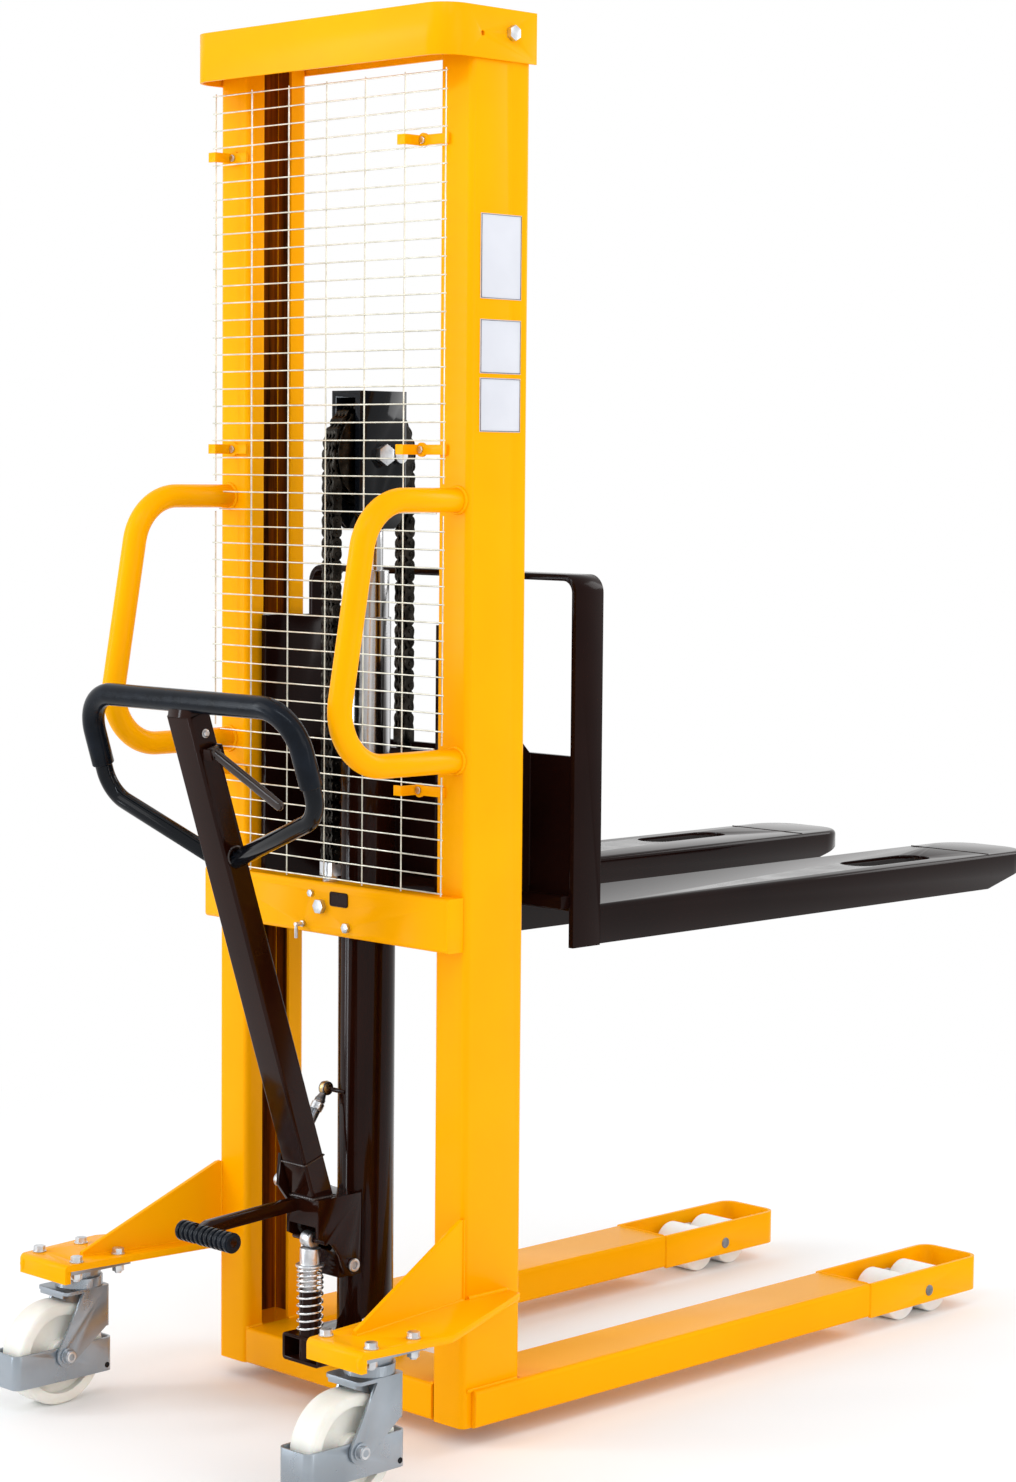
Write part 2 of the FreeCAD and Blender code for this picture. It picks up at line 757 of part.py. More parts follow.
def leg(name, side):
    """Rectangular tube notched round the column, with the open roller housing welded on its end."""
    across = hull(side, LEG_IN, LEG_OUT)
    outer = box(f"{name}_outer", across, (-S.leg_rear, S.leg_reach), (S.base_bottom, BASE_TOP))
    outer = rounded(f"{name}_rounds", outer, S.leg_round, Y_WAY)
    wall = S.base_wall
    inner = box(
        f"{name}_inner", hull(side, LEG_IN + wall, LEG_OUT - wall),
        (wall - S.leg_rear, S.leg_reach - wall), (S.base_bottom + wall, BASE_TOP - wall),
    )
    notch = box(
        f"{name}_notch", hull(side, LEG_IN - 1, S.mast_half), (-S.leg_rear - 1, COLUMN_HALF),
        (S.base_bottom - 1, BASE_TOP + 1),
    )
    tube = cut(f"{name}_tube", outer, inner, notch)
    proud = S.housing_proud
    end = number(HOUSING_END) - 1
    shell = box(
        f"{name}_housing_outer", hull(side, LEG_IN - proud, LEG_OUT + proud),
        (S.leg_reach, HOUSING_END), (S.base_bottom - 1, BASE_TOP),
    )
    shell = rounded(
        f"{name}_housing_bends", shell, S.housing_round, Z_WAY, lambda middle: middle.y > end,
    )
    inset = S.housing_wall - proud
    room = box(
        f"{name}_housing_room", hull(side, LEG_IN + inset, LEG_OUT - inset),
        (S.leg_reach - 1, HOUSING_END - S.housing_wall), (S.base_bottom - 2, BASE_TOP + 1),
    )
    inner_end = end - number(S.housing_wall)
    room = rounded(
        f"{name}_housing_inner_bends", room, S.housing_round - S.housing_wall, Z_WAY,
        lambda middle: middle.y > inner_end,
    )
    pins = rod(
        f"{name}_pin_holes", "X", (S.bogie_reach, S.bogie_pivot),
        hull(side, LEG_IN - proud - 1, LEG_OUT + proud + 1), S.bogie_pin_radius + S.run_gap,
    )
    housing = cut(f"{name}_housing", shell, room, pins)
    return fuse(name, tube, housing)


LEG_MID = LEG_OUT - S.leg_wide / 2
ROLLER_IN = LEG_MID - S.load_roller_wide / 2
ROLLER_OUT = LEG_MID + S.load_roller_wide / 2
LINK_GAP = 1
LINK_INNER = (ROLLER_IN - LINK_GAP - S.bogie_link, ROLLER_IN - LINK_GAP)
LINK_OUTER = (ROLLER_OUT + LINK_GAP, ROLLER_OUT + LINK_GAP + S.bogie_link)


def bogie_pins():
    """Short pins through the housing walls, which the tandem links rock on."""
    pins = []
    proud = S.housing_proud + S.bogie_pin_proud
    for name, side in BOTH:
        at = (S.bogie_reach, S.bogie_pivot)
        spans = ((LEG_IN - proud, LINK_INNER[1] - 0.5), (LINK_OUTER[0] + 0.5, LEG_OUT + proud))
        for place_name, span in zip(("inner", "outer"), spans):
            pins.append(rod(
                f"bogie_pin_{name}_{place_name}", "X", at, hull(side, *span), S.bogie_pin_radius,
            ))
    return group("bogie_pins", *pins)


def bogie(name, side):
    """Two links with a load roller axle at each end."""
    mid = S.bogie_reach
    spread = S.load_roller_spread
    height = S.load_roller_radius
    end = 14
    corners = [
        (mid - spread - end, height), (mid - spread - 4, height - end + 2),
        (mid + spread + 4, height - end + 2), (mid + spread + end, height),
        (mid + spread, height + end), (mid + end, S.bogie_pivot + end + 3),
        (mid - end, S.bogie_pivot + end + 3), (mid - spread, height + end),
    ]
    pieces = []
    for index, span in enumerate((LINK_INNER, LINK_OUTER)):
        link = plate(f"{name}_link_{index}", "YZ", corners, hull(side, *span))
        hole = rod(
            f"{name}_link_hole_{index}", "X", (mid, S.bogie_pivot), hull(side, *span),
            S.bogie_pin_radius + S.run_gap,
        )
        pieces.append(cut(f"{name}_link_bored_{index}", link, hole))
    for index, at in enumerate((mid - spread, mid + spread)):
        span = hull(side, LINK_INNER[0] - 3, LINK_OUTER[1] + 3)
        pieces.append(rod(f"{name}_axle_{index}", "X", (at, height), span, S.load_axle_radius))
    return fuse(name, *pieces)


def load_roller(name, side, way):
    at = (S.bogie_reach + S.load_roller_spread * way, S.load_roller_radius)
    span = hull(side, ROLLER_IN, ROLLER_OUT)
    solid = rod(f"{name}_solid", "X", at, span, S.load_roller_radius)
    doc.recompute()
    rim = doc.addObject("Part::Chamfer", f"{name}_rim")
    rim.Base = solid
    rim.Edges = [(i, 2, 2) for i, edge in enumerate(solid.Shape.Edges, start=1) if edge.isClosed()]
    bore = rod(f"{name}_bore", "X", at, span, S.load_axle_radius + S.run_gap)
    return cut(name, rim, bore)


def caster_bracket(name, side):
    """Horizontal plate with a folded rear lip and a triangular gusset that splays from the column."""
    outline = [
        (S.bracket_inner, -S.bracket_rear), (S.bracket_outer, -S.bracket_rear),
        (S.bracket_widest, -S.bracket_taper_at), (S.bracket_nose, S.bracket_nose_at),
        (S.mast_half, S.bracket_nose_at), (S.mast_half, -COLUMN_HALF),
        (S.mast_half - S.bracket_root, -COLUMN_HALF),
    ]
    outline = [(across * side, along) for across, along in outline]
    deck = plate(f"{name}_deck", "XY", outline, (BRACKET_BOTTOM, S.bracket_top))
    lip = box(
        f"{name}_lip", hull(side, S.bracket_inner, S.bracket_outer),
        (-S.bracket_rear, S.bracket_plate - S.bracket_rear),
        (BRACKET_BOTTOM - S.bracket_lip, BRACKET_BOTTOM),
    )
    folded = fuse(f"{name}_folded", deck, lip)
    rear = 0.5 - number(S.bracket_rear)
    top = number(S.bracket_top) - 0.5
    folded = rounded(
        f"{name}_bend", folded, S.bracket_plate * 0.8, X_WAY,
        lambda middle: middle.y < rear and middle.z > top,
    )
    foot = S.mast_half + S.gusset_splay
    footprint = [
        (S.mast_half - S.gusset_thick, -COLUMN_HALF), (foot - S.gusset_thick, -S.gusset_rear),
        (foot, -S.gusset_rear), (S.mast_half, -COLUMN_HALF),
    ]
    footprint = [(across * side, along) for across, along in footprint]
    upright = plate(f"{name}_upright", "XY", footprint, (S.bracket_top, S.gusset_top))
    slope = [
        (-COLUMN_HALF - S.gusset_edge, S.gusset_top), (-COLUMN_HALF - S.gusset_edge, S.gusset_top + 1),
        (-S.gusset_rear - 1, S.gusset_top + 1), (-S.gusset_rear - 1, S.bracket_top + S.gusset_edge),
        (-S.gusset_rear, S.bracket_top + S.gusset_edge),
    ]
    waste = plate(f"{name}_waste", "YZ", slope, hull(side, S.mast_half - S.gusset_thick - 1, foot + 1))
    gusset = cut(f"{name}_gusset", upright, waste)
    whole = fuse(f"{name}_whole", folded, gusset)
    holes = []
    for index, (across, along) in enumerate(caster_bolt_places(side)):
        holes.append(rod(
            f"{name}_hole_{index}", "Z", (across, along), (BRACKET_BOTTOM - 1, S.bracket_top + 1),
            S.caster_bolt_radius + S.run_gap,
        ))
    return cut(name, whole, *holes)


def caster_bolt_places(side):
    spots = []
    for across in (-1, 1):
        for along in (-1, 1):
            spots.append((
                (S.caster_across + S.caster_bolt_across * across) * side,
                S.caster_bolt_along * along - S.caster_back,
            ))
    return spots


def caster_plates():
    """Caster top plates, with the fixed raceway and the kingpin that the fork turns on."""
    pieces = []
    for name, side in BOTH:
        centre = (S.caster_across * side, -S.caster_back)
        half = S.caster_plate_half
        flat = box(
            f"caster_plate_{name}_flat",
            hull(side, S.caster_across - half, S.caster_across + half),
            (-S.caster_back - half, half - S.caster_back), (CASTER_PLATE_BOTTOM, BRACKET_BOTTOM),
        )
        holes = []
        for index, at in enumerate(caster_bolt_places(side)):
            holes.append(rod(
                f"caster_plate_{name}_hole_{index}", "Z", at,
                (CASTER_PLATE_BOTTOM, BRACKET_BOTTOM), S.caster_bolt_radius + S.run_gap,
            ))
        flat = cut(f"caster_plate_{name}_drilled", flat, *holes)
        race = rod(
            f"caster_race_{name}", "Z", centre,
            (CASTER_PLATE_BOTTOM - S.swivel_high, CASTER_PLATE_BOTTOM), S.swivel_radius,
        )
        pin = rod(
            f"caster_kingpin_{name}", "Z", centre, (FORK_DECK - 5, CASTER_PLATE_BOTTOM), S.kingpin_radius,
        )
        head = rod(
            f"caster_kingpin_head_{name}", "Z", centre,
            (FORK_DECK - 5, FORK_DECK - S.clear_gap), S.kingpin_radius + 4,
        )
        pieces.append(fuse(f"caster_plate_{name}", flat, race, pin, head))
    return group("caster_plates", *pieces)


def caster_bolts():
    pieces = []
    radius = S.caster_bolt_radius
    for name, side in BOTH:
        for index, at in enumerate(caster_bolt_places(side)):
            tag = f"caster_bolt_{name}_{index}"
            shank = rod(f"{tag}_shank", "Z", at, (CASTER_PLATE_BOTTOM - 12, S.bracket_top), radius)
            washer = rod(f"{tag}_washer", "Z", at, (S.bracket_top, S.bracket_top + 2), radius * 2)
            head = hexagon(f"{tag}_head", "Z", at, (S.bracket_top + 2, S.bracket_top + 9), radius * 1.75)
            nut = hexagon(
                f"{tag}_nut", "Z", at, (CASTER_PLATE_BOTTOM - 9, CASTER_PLATE_BOTTOM), radius * 1.75,
            )
            pieces.append(fuse(tag, shank, washer, head, nut))
    return group("caster_bolts", *pieces)


GUARD_HALF = S.caster_wide / 2 + 3 + S.guard_thick
LEG_SHEET_IN = GUARD_HALF + 0.5


def caster_fork(name, side):
    """Swivel fork: pressed deck and legs, axle bolt and the foot guard band round the wheel."""
    across = S.caster_across * side
    swivel = (across, -S.caster_back)
    head = rod(
        f"{name}_head", "Z", swivel, (FORK_DECK + S.caster_deck, RACE_BOTTOM - S.clear_gap),
        S.swivel_radius + 3,
    )
    leg_out = LEG_SHEET_IN + S.caster_leg
    front = S.swivel_radius - S.caster_back
    tail = -S.caster_back - S.fork_tail
    deck = box(
        f"{name}_deck", (across - leg_out, across + leg_out), (tail, front),
        (FORK_DECK, FORK_DECK + S.caster_deck),
    )
    deck = rounded(f"{name}_deck_rounds", deck, S.fork_wrap_round, Z_WAY)
    apron = box(
        f"{name}_apron", (across - leg_out + S.fork_wrap_round, across + leg_out - S.fork_wrap_round),
        (tail, tail + 3), (FORK_DECK - 5, FORK_DECK),
    )
    axle_at = (-AXLE_BACK, S.caster_radius)
    lug = S.fork_lug
    wrap_low = FORK_DECK - S.fork_wrap_high
    strap = [
        (-AXLE_BACK - lug * 0.94, S.caster_radius + lug * 0.33),
        (lug * 0.54 - AXLE_BACK, S.caster_radius - lug * 0.84),
        (front - S.fork_wrap_round, wrap_low), (front - S.fork_wrap_round, FORK_DECK),
        (-S.caster_back - S.swivel_radius * 0.55, FORK_DECK),
    ]
    pieces = [head, deck, apron]
    for way in (1, -1):
        tag = f"{name}_{'outer' if way > 0 else 'inner'}"
        edge = LEG_SHEET_IN - S.fork_wrap
        spans = (LEG_SHEET_IN, leg_out), (edge, leg_out), (edge, LEG_SHEET_IN)
        pairs = [hull(way, *span) for span in spans]
        sheet, wide, inside = [(across + low, across + high) for low, high in pairs]
        bend = box(f"{tag}_bend", wide, (front - S.fork_wrap_round - 1, front), (wrap_low, FORK_DECK))
        bend_at = number(across + leg_out * way)
        bend_front = number(front) - 0.1
        bend = rounded(
            f"{tag}_bend_round", bend, S.fork_wrap_round, Z_WAY,
            lambda middle: abs(middle.x - bend_at) < 0.1 and middle.y > bend_front,
        )
        room = box(
            f"{tag}_bend_room", inside, (front - S.fork_wrap_round - 2, front - S.caster_leg),
            (wrap_low - 1, FORK_DECK),
        )
        pieces.append(cut(f"{tag}_return", bend, room))
        pieces.append(plate(f"{tag}_strap", "YZ", strap, sheet))
        pieces.append(rod(f"{tag}_lug", "X", axle_at, sheet, lug))
    frame = fuse(f"{name}_pressing", *pieces)
    pin_hole = rod(
        f"{name}_kingpin_hole", "Z", swivel, (FORK_DECK - 1, RACE_BOTTOM), S.kingpin_radius + S.run_gap,
    )
    axle_hole = rod(
        f"{name}_axle_hole", "X", axle_at, (across - leg_out, across + leg_out),
        S.caster_axle_radius + S.run_gap,
    )
    frame = cut(f"{name}_frame", frame, pin_hole, axle_hole)
    axle = rod(
        f"{name}_axle_bar", "X", axle_at, (across - leg_out, across + leg_out), S.caster_axle_radius,
    )
    washer = rod(
        f"{name}_axle_washer", "X", axle_at, (across + leg_out, across + leg_out + 2.5),
        S.caster_axle_radius * 2,
    )
    bolt_end = rod(
        f"{name}_axle_head", "X", axle_at, (across + leg_out + 2.5, across + leg_out + 11),
        S.caster_axle_radius * 1.5,
    )
    nut_end = hexagon(
        f"{name}_axle_nut", "X", axle_at, (across - leg_out - 7, across - leg_out),
        S.caster_axle_radius * 1.7,
    )
    axle = fuse(f"{name}_axle", axle, washer, bolt_end, nut_end)
    reach = GUARD_REACH
    band = box(
        f"{name}_band_outer", (across - GUARD_HALF, across + GUARD_HALF),
        (-AXLE_BACK - reach, reach - AXLE_BACK), (S.guard_low, S.guard_low + S.guard_high),
    )
    band = rounded(f"{name}_band_bends", band, S.guard_bend, Z_WAY)
    wall = S.guard_thick
    room = box(
        f"{name}_band_inner", (across - GUARD_HALF + wall, across + GUARD_HALF - wall),
        (wall - AXLE_BACK - reach, reach - AXLE_BACK - wall),
        (S.guard_low - 1, S.guard_low + S.guard_high + 1),
    )
    room = rounded(f"{name}_band_inner_bends", room, S.guard_bend - wall, Z_WAY)
    guard_hole = rod(
        f"{name}_guard_hole", "X", axle_at, (across - GUARD_HALF, across + GUARD_HALF),
        S.caster_axle_radius + S.run_gap,
    )
    guard = cut(f"{name}_guard", band, room, guard_hole)
    return group(name, frame, axle, guard)


def caster_wheel(name, side):
    """Nylon wheel with a dished web on both sides."""
    across = S.caster_across * side
    at = (-AXLE_BACK, S.caster_radius)
    half = S.caster_wide / 2
    tyre = rod(f"{name}_tyre", "X", at, (across - half, across + half), S.caster_radius)
    doc.recompute()
    crown = doc.addObject("Part::Fillet", f"{name}_crown")
    crown.Base = tyre
    crown.Edges = [(i, 6, 6) for i, edge in enumerate(tyre.Shape.Edges, start=1) if edge.isClosed()]
    tools = []
    rim_inner = S.caster_radius - 17
    dish = 11
    for index, span in enumerate((
        (across + half - dish, across + half), (across - half, across - half + dish),
    )):
        disc = rod(f"{name}_dish_{index}", "X", at, span, rim_inner)
        hub = rod(f"{name}_hub_{index}", "X", at, span, S.caster_axle_radius + 15)
        tools.append(cut(f"{name}_ring_{index}", disc, hub))
    bore = rod(
        f"{name}_bore", "X", at, (across - half, across + half), S.caster_axle_radius + S.run_gap,
    )
    return cut(name, crown, bore, *tools)


def grab_handle(name, side):
    """Bent tube on the rear face of the column."""
    across = number(S.grab_across) * side
    rear = -number(COLUMN_HALF)
    points = [
        V(across, rear, number(S.grab_top)),
        V(across, rear - number(S.grab_reach_top), number(S.grab_top)),
        V(across, rear - number(S.grab_reach_low), number(S.grab_low)),
        V(across, rear, number(S.grab_low)),
    ]
    path = bent_path(points, [number(S.grab_bend)] * 2)
    radius = number(S.grab_tube) / 2
    shape = pipe(path, radius).cut(pipe(path, radius - number(S.grab_wall)))
    return formed(name, shape)


def mesh_guard():
    """Welded wire mesh as one holed sheet, cleared round the grab handles."""
    half = number(S.mesh_half)
    low = number(S.mesh_bottom)
    wire = number(S.mesh_wire)
    rows = int(number(S.mesh_rows))
    columns = int(number(S.mesh_columns))
    pitch = number(S.mesh_pitch)
    high = low + rows * pitch + wire
    front = -number(MESH_BACK)
    step = (2 * half - wire) / columns

    def rim(x0, x1, z0, z1):
        corners = [V(x0, front, z0), V(x1, front, z0), V(x1, front, z1), V(x0, front, z1), V(x0, front, z0)]
        return Part.makePolygon(corners)

    wires = [rim(-half, half, low, high)]
    for column in range(columns):
        left = -half + wire + column * step
        for row in range(rows):
            bottom = low + wire + row * pitch
            wires.append(rim(left, left + step - wire, bottom, bottom + pitch - wire))
    sheet_face = Part.makeFace(wires, "Part::FaceMakerBullseye")
    shape = sheet_face.extrude(V(0, -wire, 0))
    room = number(S.grab_tube) / 2 + number(S.grab_room)
    for side in (-1, 1):
        for height in (number(S.grab_top), number(S.grab_low)):
            start = V(side * number(S.grab_across), front + 1, height)
            shape = shape.cut(Part.makeCylinder(room, wire + 2, start, V(0, -1, 0)))
    return formed("mesh_guard", shape)


CLIP_ROWS = (41, 24, 5)


def clip_heights():
    """Clips sit in the middle of a mesh gap."""
    return [S.mesh_bottom + S.mesh_wire / 2 + S.mesh_pitch * row + S.mesh_pitch / 2 for row in CLIP_ROWS]


def clip_places():
    """Name, height, held wire, screw and far end of the strap for each clip, as places across the mast."""
    step = (S.mesh_half * 2 - S.mesh_wire) / SIZES["mesh_columns"]
    left_wire = S.mesh_wire / 2 - S.mesh_half
    places = []
    for name, wire, end in (
        ("left", left_wire, -COLUMN_IN),
        ("right", left_wire + step * (SIZES["mesh_columns"] - 1), COLUMN_IN + S.clip_foot),
    ):
        for index, height in enumerate(clip_heights()):
            places.append((f"{name}_{index}", height, wire, wire + S.clip_reach, end))
    return places


def mesh_clips():
    """Straps on the rear of the columns, each with a round eye and a tab behind a wire of the mesh."""
    pieces = []
    thick = S.clip_thick
    half = S.clip_high / 2
    face = (-COLUMN_HALF - thick, -COLUMN_HALF)
    behind = MESH_BACK + S.mesh_wire + S.clear_gap
    for name, height, wire, screw, end in clip_places():
        tag = f"mesh_clip_{name}"
        level = (height - half, height + half)
        strap = box(f"{tag}_strap", (screw, end), face, level)
        eye = rod(f"{tag}_eye", "Y", (screw, height), face, S.clip_eye)
        arm = wire + S.mesh_wire / 2 + S.clear_gap
        bend = box(f"{tag}_bend", (arm, arm + thick), (-behind - thick, -COLUMN_HALF), level)
        tab = box(
            f"{tag}_tab", (wire - S.clip_eye, arm + thick), (-behind - thick, -behind), level,
        )
        hole = rod(f"{tag}_hole", "Y", (screw, height), face, S.screw_head * 0.5 + S.run_gap)
        pieces.append(cut(tag, fuse(f"{tag}_bent", strap, eye, bend, tab), hole))
    return group("mesh_clips", *pieces)


def mesh_screws():
    pieces = []
    outer = -COLUMN_HALF - S.clip_thick
    for name, height, _, screw, _ in clip_places():
        tag = f"mesh_screw_{name}"
        head = rod(
            f"{tag}_head", "Y", (screw, height), (outer - S.screw_head_thick, outer), S.screw_head,
        )
        shank = rod(f"{tag}_shank", "Y", (screw, height), (outer, -COLUMN_HALF), S.screw_head * 0.5)
        pieces.append(fuse(tag, head, shank))
    return group("mesh_screws", *pieces)


def blank_plates():
    """Three blank plates on the outer face of the right column."""
    pieces = []
    low = S.mast_top - S.blank_drop
    for index, (high, space) in enumerate((
        (S.blank_short, S.blank_step), (S.blank_short, S.blank_space), (S.blank_tall, S.blank_step),
    )):
        pieces.append(box(
            f"blank_plate_{index}", (S.mast_half, S.mast_half + S.blank_thick),
            (-S.blank_half, S.blank_half), (low, low + high),
        ))
        low = low + high + space
    return group("blank_plates", *pieces)


def lift_cylinder():
    """Cylinder and gland on the pump base, with the tiller's pivot lug and the strut's upper ball stud."""
    axis = (0, 0)
    top = S.cylinder_top + S.gland_high
    tube = rod("cylinder_tube", "Z", axis, (PUMP_BASE_TOP, top), S.cylinder_radius)
    lug = box(
        "cylinder_lug", (-S.lug_half, S.lug_half), (-S.pivot_back - S.lug_reach, 0),
        (S.pivot_height - S.lug_reach, S.pivot_height + S.lug_reach),
    )
    stud = rod(
        "cylinder_stud_post", "X", (-S.strut_top_back, S.strut_top_height), (-S.strut_across, 0),
        S.strut_rod_radius,
    )
    knob = ball("cylinder_stud_ball", strut_point(0), S.strut_ball_radius)
    shell = fuse("cylinder_shell", tube, lug, stud, knob)
    guide = S.cylinder_top - S.gland_high * 2
    bore = rod(
        "cylinder_bore", "Z", axis, (PUMP_BASE_TOP + S.cylinder_wall, guide),
        S.cylinder_radius - S.cylinder_wall,
    )
    gland = rod("gland_bore", "Z", axis, (guide, top), S.ram_radius + S.run_gap)
    pivot = rod(
        "cylinder_pivot_hole", "X", (-S.pivot_back, S.pivot_height), (-S.lug_half, S.lug_half),
        S.pivot_radius + S.run_gap,
    )
    return cut("lift_cylinder", shell, bore, gland, pivot)


def lifting_ram():
    """Stepped ram: plunger, collar and the neck that carries the crosshead."""
    plunger = rod("ram_plunger", "Z", (0, 0), (S.ram_bottom, S.ram_top), S.ram_radius)
    collar = rod("ram_collar", "Z", (0, 0), (S.ram_top, S.ram_collar_top), S.ram_collar_radius)
    neck = rod(
        "ram_neck", "Z", (0, 0), (S.ram_collar_top, S.yoke_bottom + S.yoke_seat - 8), S.ram_neck_radius,
    )
    return fuse("lifting_ram", plunger, collar, neck)


def crosshead():
    """Yoke on the ram's neck: two plates round the pulley, a top plate and a seat block."""
    half = S.yoke_half
    inner = half - S.yoke_plate
    taper = 22
    side_outline = [
        (-S.yoke_deep, S.yoke_bottom + taper), (-S.yoke_deep + taper, S.yoke_bottom),
        (S.yoke_deep - taper, S.yoke_bottom), (S.yoke_deep, S.yoke_bottom + taper),
        (S.yoke_deep, S.yoke_top), (-S.yoke_deep, S.yoke_top),
    ]
    pieces = []
    for name, side in BOTH:
        pieces.append(plate(f"yoke_{name}", "YZ", side_outline, hull(side, inner, half)))
    pieces.append(box(
        "yoke_cover", (-half, half), (-S.yoke_deep, S.yoke_deep), (S.yoke_top - S.yoke_plate, S.yoke_top),
    ))
    pieces.append(box(
        "yoke_block", (-inner, inner), (-inner, inner), (S.yoke_bottom, S.yoke_bottom + S.yoke_seat),
    ))
    body = fuse("yoke_body", *pieces)
    seat = rod(
        "yoke_seat_bore", "Z", (0, 0), (S.yoke_bottom, S.yoke_bottom + S.yoke_seat - 8),
        S.ram_neck_radius + S.run_gap,
    )
    axle = rod("yoke_axle_bore", "X", (0, S.pulley_height), (-half, half), S.pulley_axle_radius + S.run_gap)
    keeper = rod(
        "yoke_keeper_hole", "X", (S.keeper_ahead, S.pulley_height), (inner, half),
        S.keeper_radius + S.run_gap,
    )
    return cut("crosshead", body, seat, axle, keeper)


def pulley_axle():
    """Axle with a hex head at each end, and the keeper screw beside it."""
    at = (0, S.pulley_height)
    half = S.yoke_half
    bar = rod("pulley_axle_bar", "X", at, (-half, half), S.pulley_axle_radius)
    right = hexagon("pulley_axle_head", "X", at, (half, half + 9), S.pulley_axle_radius * 1.25)
    left = hexagon("pulley_axle_nut", "X", at, (-half - 9, -half), S.pulley_axle_radius * 1.25)
    axle = fuse("pulley_axle_bolt", bar, right, left)
    keeper_at = (S.keeper_ahead, S.pulley_height)
    screw = rod("keeper_screw", "X", keeper_at, (S.yoke_half - S.yoke_plate, half), S.keeper_radius)
    dome = rod("keeper_head", "X", keeper_at, (half, half + 5), S.keeper_radius * 1.7)
    return group("pulley_axle", axle, fuse("keeper", screw, dome))


def chain_pulley():
    at = (0, S.pulley_height)
    rim_half = CHAIN_HALF + 0.5
    rim = rod("pulley_rim", "X", at, (-rim_half, rim_half), CHAIN_IN - S.clear_gap)
    pieces = [rim]
    for name, side in BOTH:
        span = hull(side, rim_half, rim_half + S.pulley_flange)
        pieces.append(rod(f"pulley_flange_{name}", "X", at, span, S.pulley_pitch_radius + 2))
    bore = rod(
        "pulley_bore", "X", at, (-rim_half - S.pulley_flange, rim_half + S.pulley_flange),
        S.pulley_axle_radius + S.run_gap,
    )
    return cut("chain_pulley", fuse("pulley_body", *pieces), bore)


CHAIN_REAR_FOOT = MIDBEAM_TOP + 8 + S.chain_link_block
CHAIN_FRONT_FOOT = S.crossbar_top + 8 + S.chain_link_block


def chain_strand(name, way, foot):
    """One straight run of the lifting chain, from its anchor up to the pulley's middle."""
    along = (CHAIN_IN, CHAIN_OUT) if way > 0 else (-CHAIN_OUT, -CHAIN_IN)
    return box(name, (-CHAIN_HALF, CHAIN_HALF), along, (foot, S.pulley_height))


def chain_wrap():
    """The chain over the top half of the pulley."""
    at = (0, S.pulley_height)
    outer = rod("chain_wrap_outer", "X", at, (-CHAIN_HALF, CHAIN_HALF), CHAIN_OUT)
    inner = rod("chain_wrap_inner", "X", at, (-CHAIN_HALF, CHAIN_HALF), CHAIN_IN)
    below = box(
        "chain_wrap_below", (-CHAIN_HALF - 1, CHAIN_HALF + 1), (-CHAIN_OUT - 1, CHAIN_OUT + 1),
        (S.pulley_height - CHAIN_OUT - 1, S.pulley_height),
    )
    return cut("chain_wrap", outer, inner, below)


def chain_anchor(name, along, seat_top, seat_thick):
    """Link block on a stud, held by a nut under its seat."""
    at = (0, along)
    block = box(
        f"{name}_block", (-CHAIN_HALF, CHAIN_HALF),
        (along - S.chain_thick / 2, along + S.chain_thick / 2),
        (seat_top + 8, seat_top + 8 + S.chain_link_block),
    )
    collar = rod(f"{name}_collar", "Z", at, (seat_top, seat_top + 8), S.stud_radius + 4)
    low = seat_top - seat_thick
    stud = rod(f"{name}_stud", "Z", at, (low - 18, seat_top), S.stud_radius)
    nut = hexagon(f"{name}_nut", "Z", at, (low - 12, low), S.stud_radius + 4.5)
    return fuse(name, block, collar, stud, nut)


def carriage_frame():
    """Welded carriage: side plates with roller axles, front plate, lower ledge and chain crossbar."""
    inner = S.carriage_half - S.carriage_plate
    bar_half = S.backrest_half - S.backrest_thick
    side_outline = [
        (-S.carriage_rear, S.carriage_bottom), (S.front_plate_at, S.carriage_bottom),
        (S.front_plate_at, S.front_plate_top),
        (S.carriage_neck, S.front_plate_top + S.front_plate_at - S.carriage_neck),
        (S.carriage_neck, S.carriage_top), (-S.carriage_rear, S.carriage_top),
    ]
    pieces = []
    for name, side in BOTH:
        pieces.append(plate(f"carriage_side_{name}", "YZ", side_outline, hull(side, inner, S.carriage_half)))
        for level, height in (("low", S.mast_roller_low), ("high", S.mast_roller_high)):
            pieces.append(rod(
                f"carriage_axle_{name}_{level}", "X", (0, height),
                hull(side, inner, MAST_ROLLER_OUT + 2), S.roller_axle_radius,
            ))
    front_span = (S.front_plate_at, S.front_plate_at + S.front_plate_thick)
    pieces.append(box(
        "carriage_front", (-bar_half, bar_half), front_span, (S.fork_top, S.front_plate_top),
    ))
    pieces.append(box(
        "carriage_ledge", (-bar_half, bar_half), (S.front_plate_at - S.ledge_deep, S.front_plate_at),
        (S.fork_top - 1, S.fork_top - 1 + S.ledge_high),
    ))
    bar_along = (CHAIN_IN - 1, CHAIN_OUT + 1)
    pieces.append(box("carriage_crossbar", (-inner, inner), bar_along, (CROSSBAR_BOTTOM, S.crossbar_top)))
    body = fuse("carriage_welded", *pieces)
    stud = rod(
        "carriage_stud_hole", "Z", (0, S.pulley_pitch_radius), (CROSSBAR_BOTTOM - 1, S.crossbar_top + 1),
        S.stud_radius + S.run_gap,
    )
    return cut("carriage_frame", body, stud)


